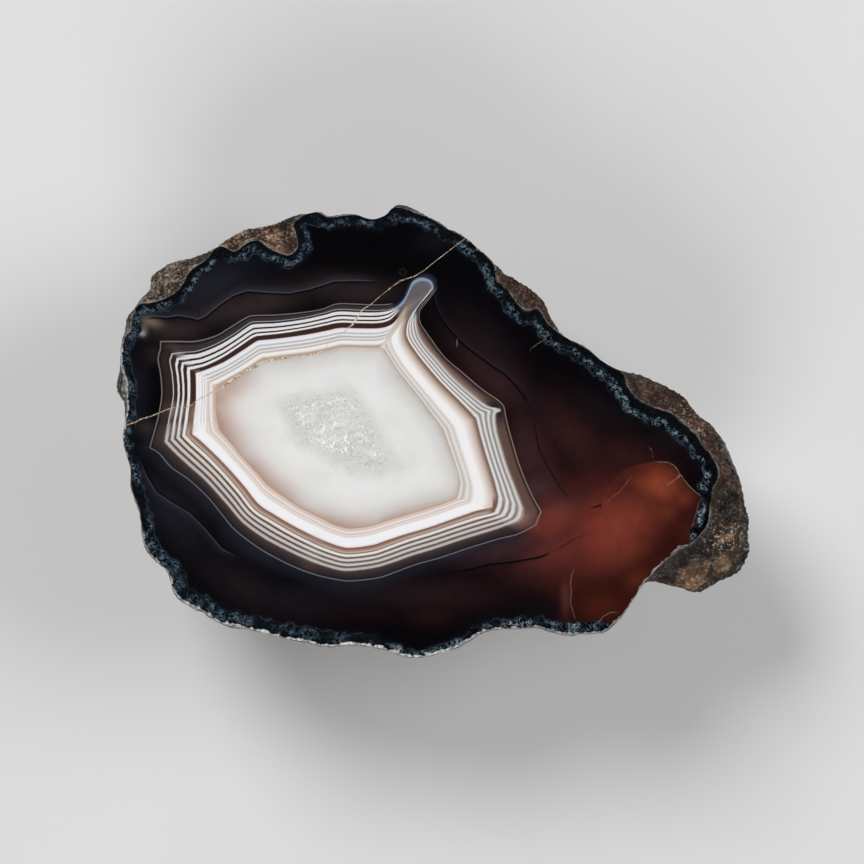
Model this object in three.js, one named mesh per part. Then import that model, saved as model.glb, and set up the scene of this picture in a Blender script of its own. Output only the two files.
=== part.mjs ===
// A halved agate nodule, sawn and polished on top, rough underneath.
// Millimetres, +Z up. The origin is under the middle of the stone, on the surface it rests on.
// The polished face is level, with its long way along X and the tapering end at +X.

import * as THREE from "three";
import { ImprovedNoise } from "three/addons/math/ImprovedNoise.js";

// Driving dimensions
const HEIGHT = 25; // resting spot to polished face
const COLUMNS = 232; // points round the stone in each ring
const PLAIN_WALL = 0.35; // how far the rim stands out where the face runs to the very edge
const FOOT_SHARE = 0.3; // size of the flat spot that the stone rests on, against the outline
const BELLY_ROUNDNESS = 2.5; // 2 is an ellipse, more is fuller
const BELLY_RINGS = 13;
const FOOT_ANGLE = 1.36; // where the flat spot cuts the belly's quarter turn, in radians
const SOFTENING = 9; // columns to each side that the belly's outline is averaged over
const SOFTENED_BY = 4; // belly rings over which the outline's small notches fade out
const FOOT_SOFTENING = 34; // columns to each side that the flat spot's outline is averaged over
const FALL_SOFTENING = 7; // columns over which one kind of edge gives way to the next

// How the rough stone leaves the polished edge: first a step down, then on to the rim's depth,
// and how much of the surface relief it takes there.
const WALL = { step: 0, depth: 1.4, relief: 0 };
const RIND = { step: 0.35, depth: 3.2, relief: 1 };
const LEDGE = { step: 2.8, depth: 6.2, relief: 1 };

// The outline, anticlockwise from the left end. A station is a point of the polished edge,
// followed by the point of the rim beside it where bare rough stone shows past the edge.
const LEFT_RIND = [
  [-37.4, 9.5, -38.0, 9.8],
  [-37.6, 8.0, -38.1, 7.8],
  [-37.2, 6.8, -38.4, 6.6],
  [-36.8, 5.6, -38.6, 5.6],
  [-36.8, 4.4, -38.6, 4.3],
  [-36.7, 3.2, -37.8, 3.4],
  [-36.7, 1.9, -37.6, 1.9],
  [-37.1, 0.4, -37.4, 0.2],
];
const LEFT_EDGE = [
  [-37.3, -1.5],
  [-36.7, -3.4],
  [-36.2, -5.0],
  [-36.2, -7.2],
  [-35.5, -8.9],
  [-35.1, -10.2],
  [-34.9, -11.9],
  [-34.7, -13.4],
  [-34.3, -14.6],
  [-32.9, -16.1],
  [-31.8, -16.9],
  [-31.4, -18.2],
  [-31.1, -19.4],
  [-30.4, -20.4],
];
const LOWER_EDGE = [
  [-28.4, -21.6],
  [-27.5, -21.7],
  [-26.9, -22.4],
  [-24.8, -23.6],
  [-22.1, -23.8],
  [-19.2, -24.8],
  [-16.0, -25.4],
  [-14.4, -25.6],
  [-13.2, -26.1],
  [-11.6, -26.0],
  [-10.0, -25.8],
  [-8.0, -26.0],
  [-5.6, -26.4],
  [-4.1, -27.1],
  [-1.9, -27.4],
  [0.0, -27.0],
  [1.8, -26.6],
  [3.1, -26.0],
  [5.0, -24.8],
  [6.1, -24.2],
  [7.7, -23.9],
  [9.7, -24.0],
  [12.8, -23.6],
  [14.0, -24.2],
  [16.6, -24.7],
  [17.9, -24.3],
  [20.0, -24.5],
  [21.1, -23.8],
  [22.1, -22.9],
  [23.0, -22.0],
  [24.0, -20.4],
  [25.1, -18.8],
];
const BROKEN_LEDGE = [
  [25.8, -17.9, 26.0, -18.6],
  [26.4, -17.2, 27.2, -18.8],
  [27.0, -16.6, 28.6, -19.3],
  [27.7, -15.9, 30.4, -19.9],
  [28.3, -15.4, 31.8, -20.3],
  [28.8, -14.9, 32.9, -20.2],
  [29.3, -14.5, 34.2, -19.4],
  [29.8, -14.1, 35.5, -18.6],
  [30.5, -14.0, 36.9, -18.1],
  [31.0, -13.8, 37.7, -17.4],
  [31.6, -13.2, 38.2, -16.3],
  [32.0, -12.6, 38.7, -15.2],
];
const RIGHT_RIND = [
  [32.6, -12.0, 38.8, -13.9],
  [33.1, -11.0, 38.6, -12.6],
  [33.1, -10.1, 38.8, -11.5],
  [33.2, -9.0, 38.6, -10.7],
  [33.5, -8.2, 38.2, -9.8],
  [33.4, -7.2, 37.9, -8.8],
  [34.0, -6.4, 37.7, -7.3],
  [34.3, -5.4, 37.3, -5.9],
  [34.0, -4.3, 36.7, -4.4],
  [33.4, -3.1, 36.2, -3.0],
  [32.6, -2.3, 35.7, -1.6],
  [31.8, -1.0, 34.8, -0.2],
  [31.0, -0.1, 33.9, 1.0],
  [30.0, 0.7, 32.8, 1.7],
  [29.0, 1.7, 31.9, 2.6],
  [27.6, 2.3, 31.0, 3.9],
  [26.2, 2.6, 30.1, 5.0],
  [24.8, 3.4, 28.7, 5.6],
  [23.9, 4.2, 27.3, 6.1],
  [23.2, 5.2, 25.8, 6.8],
  [23.0, 6.1, 24.5, 7.2],
  [22.8, 6.8, 23.3, 7.5],
];
const UPPER_RIGHT_EDGE = [
  [22.0, 7.2],
  [20.8, 7.8],
  [19.7, 8.6],
  [18.7, 9.5],
  [17.6, 10.1],
  [16.3, 10.7],
  [15.4, 11.3],
];
const UPPER_RIGHT_RIND = [
  [14.6, 11.9, 15.0, 12.6],
  [13.9, 12.5, 14.5, 13.7],
  [13.2, 13.4, 14.1, 15.0],
  [12.6, 14.6, 13.5, 15.9],
  [12.0, 14.3, 12.7, 16.8],
  [11.3, 14.1, 12.0, 17.4],
  [10.4, 14.7, 11.2, 18.0],
  [9.7, 15.5, 10.4, 18.5],
  [9.2, 16.3, 9.8, 18.9],
  [8.8, 17.1, 9.2, 19.0],
  [7.9, 17.6, 8.8, 19.4],
  [7.6, 18.4, 8.3, 19.9],
  [7.6, 19.3, 7.8, 20.2],
];
const TOP_RIGHT_EDGE = [
  [7.1, 20.2],
  [6.0, 21.2],
  [5.0, 22.0],
  [4.1, 22.8],
  [3.1, 23.4],
  [1.8, 23.9],
  [0.7, 24.7],
  [-0.6, 25.4],
];
const TOP_CAP = [
  [-2.1, 25.9, -1.6, 26.4],
  [-3.0, 26.3, -2.5, 26.9],
  [-3.7, 26.5, -3.2, 27.3],
  [-4.3, 26.6, -4.1, 27.5],
  [-4.9, 26.5, -4.9, 27.3],
  [-5.2, 26.2, -5.3, 26.6],
];
const TOP_EDGE = [
  [-5.5, 25.8],
  [-6.2, 25.4],
  [-7.3, 25.1],
  [-8.3, 25.4],
  [-9.2, 25.7],
  [-10.6, 25.6],
  [-11.8, 25.4],
  [-12.9, 25.4],
  [-13.6, 26.0],
  [-14.5, 25.9],
  [-15.3, 25.8],
];
const LOBED_RIND = [
  [-15.9, 25.3, -16.0, 26.3],
  [-16.7, 24.8, -16.4, 26.2],
  [-16.7, 24.0, -16.9, 26.1],
  [-16.2, 23.2, -17.4, 25.9],
  [-16.1, 22.2, -17.9, 25.7],
  [-16.4, 21.4, -18.4, 25.5],
  [-17.2, 20.8, -18.9, 25.3],
  [-18.0, 20.9, -19.4, 25.1],
  [-18.8, 21.3, -20.0, 25.0],
  [-19.7, 21.6, -20.8, 24.8],
  [-20.4, 22.3, -21.4, 24.8],
  [-21.1, 22.7, -22.0, 24.7],
  [-22.3, 22.4, -23.0, 24.5],
  [-23.1, 21.6, -23.6, 24.1],
  [-24.0, 21.2, -24.2, 23.7],
  [-24.8, 21.7, -25.3, 23.2],
  [-25.5, 22.0, -26.2, 22.4],
  [-26.5, 21.4, -27.2, 21.9],
  [-26.9, 20.5, -28.0, 21.6],
  [-27.8, 19.9, -28.8, 21.3],
  [-28.9, 19.2, -29.9, 20.9],
  [-29.5, 18.5, -31.1, 20.6],
  [-29.9, 17.5, -32.2, 20.3],
  [-30.6, 16.6, -33.1, 19.8],
  [-31.6, 15.9, -34.0, 19.0],
  [-32.8, 15.4, -34.4, 18.1],
  [-34.0, 15.1, -34.2, 17.1],
  [-34.8, 15.1, -35.0, 16.3],
  [-35.5, 14.8, -35.8, 15.5],
  [-35.9, 14.0, -36.4, 14.6],
  [-36.1, 13.0, -37.1, 13.9],
  [-36.4, 11.9, -37.3, 12.8],
  [-36.9, 11.2, -37.3, 11.9],
  [-37.3, 10.6, -37.7, 10.9],
];

const STRETCHES = [
  [LEFT_RIND, RIND],
  [LEFT_EDGE, WALL],
  [LOWER_EDGE, WALL],
  [BROKEN_LEDGE, LEDGE],
  [RIGHT_RIND, RIND],
  [UPPER_RIGHT_EDGE, WALL],
  [UPPER_RIGHT_RIND, RIND],
  [TOP_RIGHT_EDGE, WALL],
  [TOP_CAP, RIND],
  [TOP_EDGE, WALL],
  [LOBED_RIND, RIND],
];

// The rough stone between the polished edge and the rim: how far out each ring lies,
// and how much of the surface relief it takes.
const SHELF_RINGS = [
  { out: 0.1, relief: 0.2 },
  { out: 0.38, relief: 0.55 },
  { out: 0.72, relief: 0.5 },
  { out: 1, relief: 0.1 },
];
const SHELF_FALL = 2.2; // above 1 the shelf starts level and steepens towards the rim
const BELLY_RELIEF = [0.3, 0.62, 0.9]; // of the first belly rings, the rest take all of it
const FOOT_RELIEF = [0.75, 0.35, 0]; // of the last belly rings, down to the flat spot

// Surface relief: size of the lumps, and how deep the creases between them go. The noise
// swings about zero. The creases lie where it crosses zero, and the lumps' tops at TOP_LEVEL.
const RELIEF = [
  { size: 17, depth: 3.4 },
  { size: 8, depth: 1.5 },
  { size: 3.7, depth: 0.8 },
];
const TOP_LEVEL = 0.5;
const PIT_SIZE = 6.5;
const PIT_DEPTH = 3;
const PIT_LEVEL = 0.25; // the noise level above which the surface sinks into a pit
const LUMP_PLACE = new THREE.Vector3(31, 17, 5); // where in the noise the lumps and pits are read
const PIT_PLACE = new THREE.Vector3(71, 3, 43);

const noise = new ImprovedNoise();

function closedCurve(points) {
  return new THREE.CatmullRomCurve3(points, true, "catmullrom");
}

// The rim point of a station with none of its own: straight out from the polished edge.
function plainRim(edge, previous, next) {
  const along = next.clone().sub(previous).normalize();
  const out = new THREE.Vector3(along.y, -along.x, 0);
  return edge.clone().addScaledVector(out, PLAIN_WALL);
}

// What runs round the stone side by side, column by column: the polished edge, the rim, and
// the step, depth and relief of the rough stone between them.
function outlineColumns() {
  const stations = STRETCHES.flatMap(([points, fall]) => points.map((point) => ({ point, fall })));
  const count = stations.length;
  const edge = stations.map(({ point }) => new THREE.Vector3(point[0], point[1], 0));
  const rim = stations.map(({ point }, i) =>
    point.length > 2
      ? new THREE.Vector3(point[2], point[3], 0)
      : plainRim(edge[i], edge[(i + count - 1) % count], edge[(i + 1) % count]),
  );
  const fall = stations.map(({ fall }) => new THREE.Vector3(fall.step, fall.depth, fall.relief));
  const shares = Array.from({ length: COLUMNS }, (_, i) => i / COLUMNS);
  const edgeCurve = closedCurve(edge);
  const rimCurve = closedCurve(rim);
  return {
    edges: shares.map((share) => edgeCurve.getPoint(share)),
    rims: shares.map((share) => rimCurve.getPoint(share)),
    falls: softened(shares.map((share) => fall[Math.floor(share * count)]), FALL_SOFTENING),
  };
}

// The middle of the area that a ring of points encloses.
function middleOf(ring) {
  let area = 0;
  const middle = new THREE.Vector3();
  ring.forEach((a, i) => {
    const b = ring[(i + 1) % ring.length];
    const cross = a.x * b.y - b.x * a.y;
    area += cross / 2;
    middle.x += ((a.x + b.x) * cross) / 6;
    middle.y += ((a.y + b.y) * cross) / 6;
  });
  return middle.divideScalar(area);
}

// The same closed ring with each point moved to the average of those round it.
function softened(ring, reach) {
  return ring.map((_, i) => {
    const sum = new THREE.Vector3();
    let weights = 0;
    for (let offset = -reach; offset <= reach; offset++) {
      const weight = reach + 1 - Math.abs(offset);
      sum.addScaledVector(ring[(i + offset + ring.length) % ring.length], weight);
      weights += weight;
    }
    return sum.divideScalar(weights);
  });
}

// One column of points down the stone, from the polished edge to the flat spot.
function columnPoints(edge, rim, soft, foot, fall) {
  const column = [edge.clone().setZ(HEIGHT)];
  for (const { out } of SHELF_RINGS) {
    const stepped = fall.x * Math.min(1, out / SHELF_RINGS[0].out);
    const sunk = stepped + (fall.y - fall.x) * Math.pow(out, SHELF_FALL);
    column.push(edge.clone().lerp(rim, out).setZ(HEIGHT - sunk));
  }
  const power = 2 / BELLY_ROUNDNESS;
  const lastAcross = Math.pow(Math.cos(FOOT_ANGLE), power);
  const lastDown = Math.pow(Math.sin(FOOT_ANGLE), power);
  const rimHeight = HEIGHT - fall.y;
  for (let ring = 1; ring <= BELLY_RINGS; ring++) {
    const turn = (FOOT_ANGLE * ring) / BELLY_RINGS;
    const inward = (1 - Math.pow(Math.cos(turn), power)) / (1 - lastAcross);
    const down = Math.pow(Math.sin(turn), power) / lastDown;
    const outline = rim.clone().lerp(soft, Math.min(1, ring / SOFTENED_BY));
    column.push(outline.lerp(foot, inward).setZ(rimHeight * (1 - down)));
  }
  return column;
}

function noiseAt(point, size, place) {
  const at = point.clone().divideScalar(size).add(place);
  return noise.noise(at.x, at.y, at.z);
}

// How far the rough surface sinks at a point, never outwards, so the rim keeps the outline.
function sinkAt(point) {
  let sink = 0;
  for (const { size, depth } of RELIEF) {
    sink += depth * (TOP_LEVEL - Math.abs(noiseAt(point, size, LUMP_PLACE)));
  }
  const pit = noiseAt(point, PIT_SIZE, PIT_PLACE);
  return Math.max(0, sink) + PIT_DEPTH * Math.max(0, pit - PIT_LEVEL);
}

// The share of the surface relief that each ring takes in a column, from the edge down.
function reliefShares(fall) {
  const shelf = SHELF_RINGS.map(({ relief }) => relief * Math.max(0, fall.z));
  const full = BELLY_RINGS - BELLY_RELIEF.length - FOOT_RELIEF.length;
  return [0, ...shelf, ...BELLY_RELIEF, ...Array(full).fill(1), ...FOOT_RELIEF];
}

// Triangles that close a level ring of points, facing up or down.
function capTriangles(points, ring, facesUp) {
  const first = ring * COLUMNS;
  const contour = points.slice(first, first + COLUMNS).map((p) => new THREE.Vector2(p.x, p.y));
  const faces = THREE.ShapeUtils.triangulateShape(contour, []);
  return faces.flatMap(([a, b, c]) =>
    facesUp ? [first + a, first + b, first + c] : [first + a, first + c, first + b],
  );
}

function stoneGeometry() {
  const { edges, rims, falls } = outlineColumns();
  const softRims = softened(rims, SOFTENING);
  const middle = middleOf(rims);
  const feet = softened(rims, FOOT_SOFTENING).map((soft) => middle.clone().lerp(soft, FOOT_SHARE));
  const columns = edges.map((edge, i) =>
    columnPoints(edge, rims[i], softRims[i], feet[i], falls[i]),
  );
  const rings = columns[0].length;
  const points = [];
  for (let ring = 0; ring < rings; ring++) {
    columns.forEach((column) => points.push(column[ring]));
  }

  const triangles = [];
  for (let ring = 0; ring + 1 < rings; ring++) {
    for (let i = 0; i < COLUMNS; i++) {
      const next = (i + 1) % COLUMNS;
      const upper = ring * COLUMNS;
      const lower = upper + COLUMNS;
      triangles.push(upper + i, lower + i, lower + next);
      triangles.push(upper + i, lower + next, upper + next);
    }
  }
  const wall = new THREE.BufferGeometry().setFromPoints(points);
  wall.setIndex(triangles);
  wall.computeVertexNormals();

  const normal = new THREE.Vector3();
  const relief = falls.map(reliefShares);
  const rough = points.map((point, i) => {
    normal.fromBufferAttribute(wall.attributes.normal, i);
    const sink = sinkAt(point) * relief[i % COLUMNS][Math.floor(i / COLUMNS)];
    return point.clone().addScaledVector(normal, -sink);
  });

  const solid = new THREE.BufferGeometry().setFromPoints(rough);
  solid.setIndex([
    ...triangles,
    ...capTriangles(rough, 0, true),
    ...capTriangles(rough, rings - 1, false),
  ]);
  solid.computeVertexNormals();
  return solid;
}

const stone = new THREE.MeshStandardMaterial({ color: 0x2a2321, roughness: 0.35, metalness: 0 });

const agate = new THREE.Mesh(stoneGeometry(), stone);
agate.name = "agate_half";

const part = new THREE.Group();
part.add(agate);

export default part;
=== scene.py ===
"""The looks of a halved botswana agate: a polished face of bands, and a rough rind."""

import math

import bmesh
import bpy
import numpy as np
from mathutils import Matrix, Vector, noise


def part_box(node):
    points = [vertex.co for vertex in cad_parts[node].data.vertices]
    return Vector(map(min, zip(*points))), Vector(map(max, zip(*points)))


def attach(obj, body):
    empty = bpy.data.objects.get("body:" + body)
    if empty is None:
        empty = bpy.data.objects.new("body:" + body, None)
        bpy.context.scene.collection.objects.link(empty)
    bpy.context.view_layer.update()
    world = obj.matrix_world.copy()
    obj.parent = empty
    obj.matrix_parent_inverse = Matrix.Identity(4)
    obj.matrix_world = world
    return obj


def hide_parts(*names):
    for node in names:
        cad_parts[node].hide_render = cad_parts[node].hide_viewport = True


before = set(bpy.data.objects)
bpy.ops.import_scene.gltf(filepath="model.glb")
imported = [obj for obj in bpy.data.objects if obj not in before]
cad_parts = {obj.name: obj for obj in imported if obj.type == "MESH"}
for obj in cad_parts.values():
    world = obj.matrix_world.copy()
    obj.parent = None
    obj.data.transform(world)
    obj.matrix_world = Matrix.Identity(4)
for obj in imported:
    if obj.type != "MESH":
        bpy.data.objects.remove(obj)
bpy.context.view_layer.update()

MM = 0.001
NODE = "agate_half"
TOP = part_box(NODE)[1].z / MM

# Bands of the polished face, in millimetres.
# Each station runs across the bands, from the quartz outwards. It gives the places where it meets the
# quartz's edge, the white band's outer edge, the brown band's outer edge, the outer edge of the fine
# white lines, and the outermost thin line. The stations go round anticlockwise.
LEFT = [
    ((-26.1, 4.95), (-28.5, 6.7), (-29.15, 7.05), (-31.4, 9.1), (-32.7, 10.5)),
    ((-26.1, 4.7), (-28.48, 6.4), (-29.13, 6.75), (-31.5, 8.7), (-32.72, 9.6)),
    ((-26.1, 4.4), (-28.47, 6.1), (-29.13, 6.45), (-31.66, 8.2), (-33.0, 8.4)),
    ((-26.1, 3.9), (-28.45, 5.4), (-29.1, 5.7), (-31.42, 6.7), (-32.72, 6.8)),
    ((-26.12, 3.3), (-28.45, 4.4), (-29.1, 4.6), (-31.25, 5.0), (-32.55, 5.0)),
    ((-26.12, 2.6), (-28.48, 3.3), (-29.15, 3.4), (-31.3, 3.5), (-32.6, 3.5)),
]
LEFT_LOW = [
    ((-25.95, 1.2), (-28.75, 1.0), (-29.42, 1.0), (-31.8, 1.0), (-33.08, 1.0)),
]
LOWER_LEFT = [
    ((-25.6, -0.1), (-28.93, -0.63), (-29.63, -0.7), (-32.3, -1.6), (-34.0, -2.25)),
    ((-24.9, -0.9), (-28.0, -1.35), (-28.6, -1.75), (-31.0, -2.95), (-32.9, -2.9)),
    ((-23.9, -2.05), (-26.6, -2.65), (-27.2, -3.0), (-29.2, -4.6), (-31.4, -4.6)),
    ((-22.9, -3.3), (-25.3, -3.95), (-25.9, -4.3), (-27.5, -6.1), (-29.3, -6.05)),
    ((-21.9, -4.4), (-24.0, -5.35), (-24.6, -5.7), (-26.1, -7.6), (-27.0, -8.2)),
    ((-20.9, -5.5), (-22.55, -7.02), (-23.1, -7.45), (-24.6, -9.3), (-25.2, -10.4)),
    ((-19.8, -6.7), (-20.95, -9.02), (-21.4, -9.6), (-22.9, -11.25), (-23.75, -12.12)),
    ((-18.0, -8.0), (-19.0, -10.32), (-19.3, -10.95), (-20.4, -13.1), (-21.0, -14.22)),
    ((-15.9, -9.4), (-17.0, -11.5), (-17.3, -12.15), (-18.1, -14.35), (-18.6, -15.6)),
    ((-13.9, -10.4), (-15.0, -12.55), (-15.3, -13.2), (-15.9, -15.4), (-16.3, -16.7)),
]
BOTTOM = [
    ((-12.0, -11.4), (-12.9, -13.5), (-13.1, -14.2), (-13.5, -16.35), (-13.7, -17.6)),
    ((-10.4, -11.85), (-10.9, -14.18), (-11.0, -14.9), (-11.2, -17.0), (-11.3, -18.1)),
    ((-9.2, -11.85), (-9.7, -14.27), (-9.7, -14.98), (-9.7, -17.06), (-9.7, -18.22)),
    ((-7.4, -11.55), (-7.3, -13.95), (-7.3, -14.68), (-7.0, -16.7), (-6.6, -17.86)),
    ((-6.0, -11.1), (-5.9, -13.5), (-5.8, -14.2), (-5.2, -16.2), (-4.8, -17.27)),
    ((-3.5, -10.35), (-3.3, -12.64), (-3.1, -13.2), (-2.5, -15.25), (-2.1, -16.27)),
    ((-0.7, -9.5), (-0.4, -11.8), (-0.2, -12.3), (0.3, -14.4), (0.8, -15.45)),
    ((1.3, -8.85), (2.3, -10.85), (2.6, -11.35), (3.6, -13.3), (4.3, -14.27)),
    ((2.3, -8.45), (5.0, -9.9), (5.2, -10.5), (6.9, -12.3), (8.0, -13.15)),
    ((2.6, -8.3), (6.3, -9.6), (6.5, -10.2), (8.8, -11.65), (10.2, -12.6)),
]
CUT_CORNER = [
    ((2.8, -8.2), (7.15, -9.4), (7.35, -9.95), (10.2, -11.06), (12.35, -11.5)),
    ((3.0, -7.6), (7.2, -8.8), (7.7, -9.0), (10.65, -10.5), (12.7, -10.6)),
]
RIGHT = [
    ((3.2, -6.4), (7.1, -7.9), (7.8, -8.1), (10.82, -9.54), (12.98, -9.95)),
    ((3.0, -5.4), (6.7, -6.5), (7.35, -6.3), (9.9, -7.1), (11.7, -7.6)),
    ((2.6, -4.1), (6.1, -4.6), (6.75, -4.4), (8.9, -4.5), (10.4, -4.45)),
    ((2.2, -2.9), (5.5, -2.7), (6.15, -2.5), (8.2, -2.2), (9.65, -2.0)),
    ((1.7, -1.5), (4.95, -0.8), (5.6, -0.5), (7.65, -0.2), (9.05, 0.1)),
]
RIGHT_CORNER = [
    ((1.2, -0.1), (4.5, 0.85), (5.15, 1.2), (7.5, 1.6), (8.7, 1.6)),
    ((0.9, 0.3), (4.25, 1.15), (4.85, 1.55), (7.8, 2.45), (8.5, 2.65)),
    ((0.5, 0.9), (3.8, 1.65), (4.35, 2.15), (6.6, 2.75), (7.8, 3.45)),
]
UPPER_RIGHT = [
    ((-0.5, 2.2), (2.4, 3.15), (2.9, 3.65), (4.7, 4.15), (5.9, 4.75)),
    ((-1.9, 4.1), (0.4, 5.2), (0.95, 5.6), (2.3, 6.3), (3.6, 6.7)),
    ((-3.2, 5.7), (-1.4, 7.3), (-0.9, 7.75), (0.5, 8.35), (1.4, 8.6)),
    ((-4.3, 7.1), (-2.6, 8.9), (-2.1, 9.3), (-0.85, 9.9), (-0.2, 10.7)),
    ((-5.2, 8.5), (-3.55, 10.4), (-2.9, 10.5), (-1.6, 11.1), (-1.0, 11.85)),
    ((-5.6, 9.1), (-3.75, 11.3), (-3.2, 11.35), (-1.85, 11.9), (-1.42, 12.45)),
    ((-5.85, 9.45), (-3.75, 12.1), (-3.17, 12.2), (-2.0, 12.6), (-1.62, 13.0)),
    ((-5.95, 9.6), (-3.6, 12.85), (-2.95, 13.0), (-2.03, 13.35), (-1.68, 13.6)),
]
FINGER_RIGHT = [
    ((-6.0, 9.66), (-3.4, 13.5), (-2.55, 13.85), (-1.93, 14.1), (-1.6, 14.15)),
    ((-6.02, 9.7), (-3.25, 14.1), (-1.95, 14.6), (-1.6, 14.85), (-1.33, 14.6)),
    ((-6.04, 9.72), (-3.2, 14.4), (-1.1, 15.7), (-0.9, 15.6), (-0.68, 15.38)),
    ((-6.05, 9.74), (-3.2, 14.5), (-0.5, 16.45), (-0.25, 16.4), (-0.02, 16.25)),
]
FINGER = [
    ((-6.06, 9.75), (-3.22, 14.55), (-0.3, 17.0), (0.08, 16.95), (0.48, 17.1)),
    ((-6.07, 9.76), (-3.24, 14.58), (-0.6, 17.45), (-0.15, 17.7), (0.4, 18.1)),
    ((-6.08, 9.77), (-3.26, 14.6), (-1.2, 17.6), (-0.9, 18.13), (-0.5, 18.68)),
    ((-6.1, 9.78), (-3.28, 14.6), (-1.8, 17.45), (-1.7, 18.15), (-1.5, 18.55)),
    ((-6.12, 9.78), (-3.3, 14.58), (-2.3, 17.1), (-2.45, 17.7), (-2.6, 17.9)),
    ((-6.15, 9.78), (-3.32, 14.55), (-2.65, 16.6), (-2.9, 16.8), (-3.25, 16.85)),
    ((-6.18, 9.78), (-3.35, 14.5), (-3.0, 15.8), (-3.35, 15.8), (-3.7, 15.8)),
    ((-6.22, 9.78), (-3.4, 14.4), (-3.4, 14.95), (-3.95, 15.05), (-4.25, 15.27)),
    ((-6.3, 9.78), (-3.65, 14.05), (-3.9, 14.4), (-4.6, 14.6), (-4.8, 15.05)),
]
TOP_SIDE = [
    ((-6.4, 9.78), (-4.1, 13.4), (-4.55, 13.65), (-5.3, 14.37), (-5.4, 14.95)),
    ((-6.6, 9.78), (-4.9, 12.6), (-5.3, 13.0), (-6.2, 14.3), (-6.2, 14.9)),
    ((-7.5, 9.78), (-6.3, 12.12), (-6.6, 12.7), (-7.5, 14.28), (-7.5, 14.9)),
    ((-9.2, 9.8), (-9.0, 12.08), (-9.0, 12.69), (-9.3, 14.35), (-9.3, 14.98)),
    ((-10.9, 9.84), (-11.1, 12.14), (-11.2, 12.74), (-11.5, 14.4), (-11.5, 15.0)),
    ((-12.4, 9.5), (-12.8, 11.8), (-12.9, 12.42), (-13.2, 13.95), (-13.3, 14.37)),
    ((-14.9, 8.97), (-15.3, 11.32), (-15.4, 11.9), (-15.7, 13.4), (-15.8, 13.95)),
    ((-17.9, 8.6), (-18.3, 10.9), (-18.4, 11.43), (-18.8, 13.02), (-18.9, 13.68)),
    ((-19.8, 8.32), (-20.4, 10.68), (-20.6, 11.2), (-21.2, 12.93), (-21.3, 13.62)),
    ((-20.6, 8.15), (-21.2, 10.52), (-21.5, 11.0), (-22.05, 12.75), (-22.3, 13.4)),
    ((-22.4, 7.0), (-23.0, 9.34), (-23.25, 9.85), (-23.9, 11.48), (-24.0, 12.4)),
    ((-24.2, 6.0), (-25.0, 8.1), (-25.25, 8.55), (-25.9, 10.33), (-26.0, 11.2)),
    ((-25.3, 5.35), (-26.8, 7.3), (-27.2, 7.6), (-28.2, 9.45), (-28.4, 10.55)),
    ((-25.8, 5.1), (-27.7, 6.97), (-28.2, 7.3), (-29.8, 9.28), (-30.6, 10.52)),
]
SIDES = {
    "left": LEFT,
    "left_low": LEFT_LOW,
    "lower_left": LOWER_LEFT,
    "bottom": BOTTOM,
    "cut_corner": CUT_CORNER,
    "right": RIGHT,
    "right_corner": RIGHT_CORNER,
    "upper_right": UPPER_RIGHT,
    "finger_right": FINGER_RIGHT,
    "finger": FINGER,
    "top": TOP_SIDE,
}
# The sides whose first station is a sharp corner of every band
SHARP_STARTS = ("left", "lower_left", "cut_corner", "right")

# The middle of the quartz, and the corners of its core of crystals
QUARTZ_MIDDLE = (-11.0, -1.0)
CRYSTALS = [
    (-19.0, 3.5), (-16.2, -1.9), (-9.9, -5.2), (-6.8, -5.9), (-3.9, -4.6), (-7.9, 3.1), (-9.9, 5.0),
]

# Rings of the face between one band's edge and the next
RINGS_IN_QUARTZ = 22
RINGS_BETWEEN = (8, 3, 8, 4)
RINGS_OUTSIDE = 30

# The face's cells are eased apart until no corner of theirs spans less than this, in square millimetres.
# The cells as far as the reach round a folded one move with it.
SMALLEST_CORNER = 0.0001
MOST_EASINGS = 200
EASING_REACH = 2

# How finely the bands' edges are sampled between stations: to place the outline, and to measure from them
PLACING_STEPS = 12
MEASURING_STEPS = 8
# How many places of the outline share out an uneven spacing, on each side of one
SMOOTHING_REACH = 61

# Points of the solid that are nearer than this, in millimetres, are one point
WELD = 0.01

# The healed crack, in millimetres: x, y and half its width
CRACK = [
    (3.9, 22.9, 0.035), (0.1, 20.0, 0.035), (-1.1, 19.0, 0.035), (-2.3, 18.3, 0.05), (-3.9, 17.8, 0.08),
    (-5.0, 17.0, 0.06), (-6.4, 15.9, 0.04), (-7.5, 14.9, 0.04), (-8.4, 14.4, 0.05), (-8.9, 13.7, 0.1),
    (-9.6, 12.6, 0.12), (-10.4, 11.9, 0.1), (-11.5, 11.2, 0.05), (-12.6, 10.5, 0.04), (-12.8, 9.6, 0.05),
    (-14.3, 9.0, 0.09), (-16.0, 8.72, 0.11), (-18.0, 8.5, 0.14), (-20.2, 8.15, 0.2), (-21.8, 7.35, 0.24),
    (-23.5, 6.3, 0.24), (-25.2, 5.1, 0.17), (-26.4, 4.45, 0.08), (-28.3, 3.45, 0.05), (-29.0, 2.85, 0.06),
    (-29.7, 2.6, 0.06), (-30.7, 2.6, 0.06), (-31.6, 2.46, 0.06), (-32.5, 2.1, 0.06),
    (-33.9, 1.5, 0.06), (-34.9, 1.25, 0.08), (-35.8, 0.8, 0.08), (-37.2, 0.3, 0.07),
]
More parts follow.
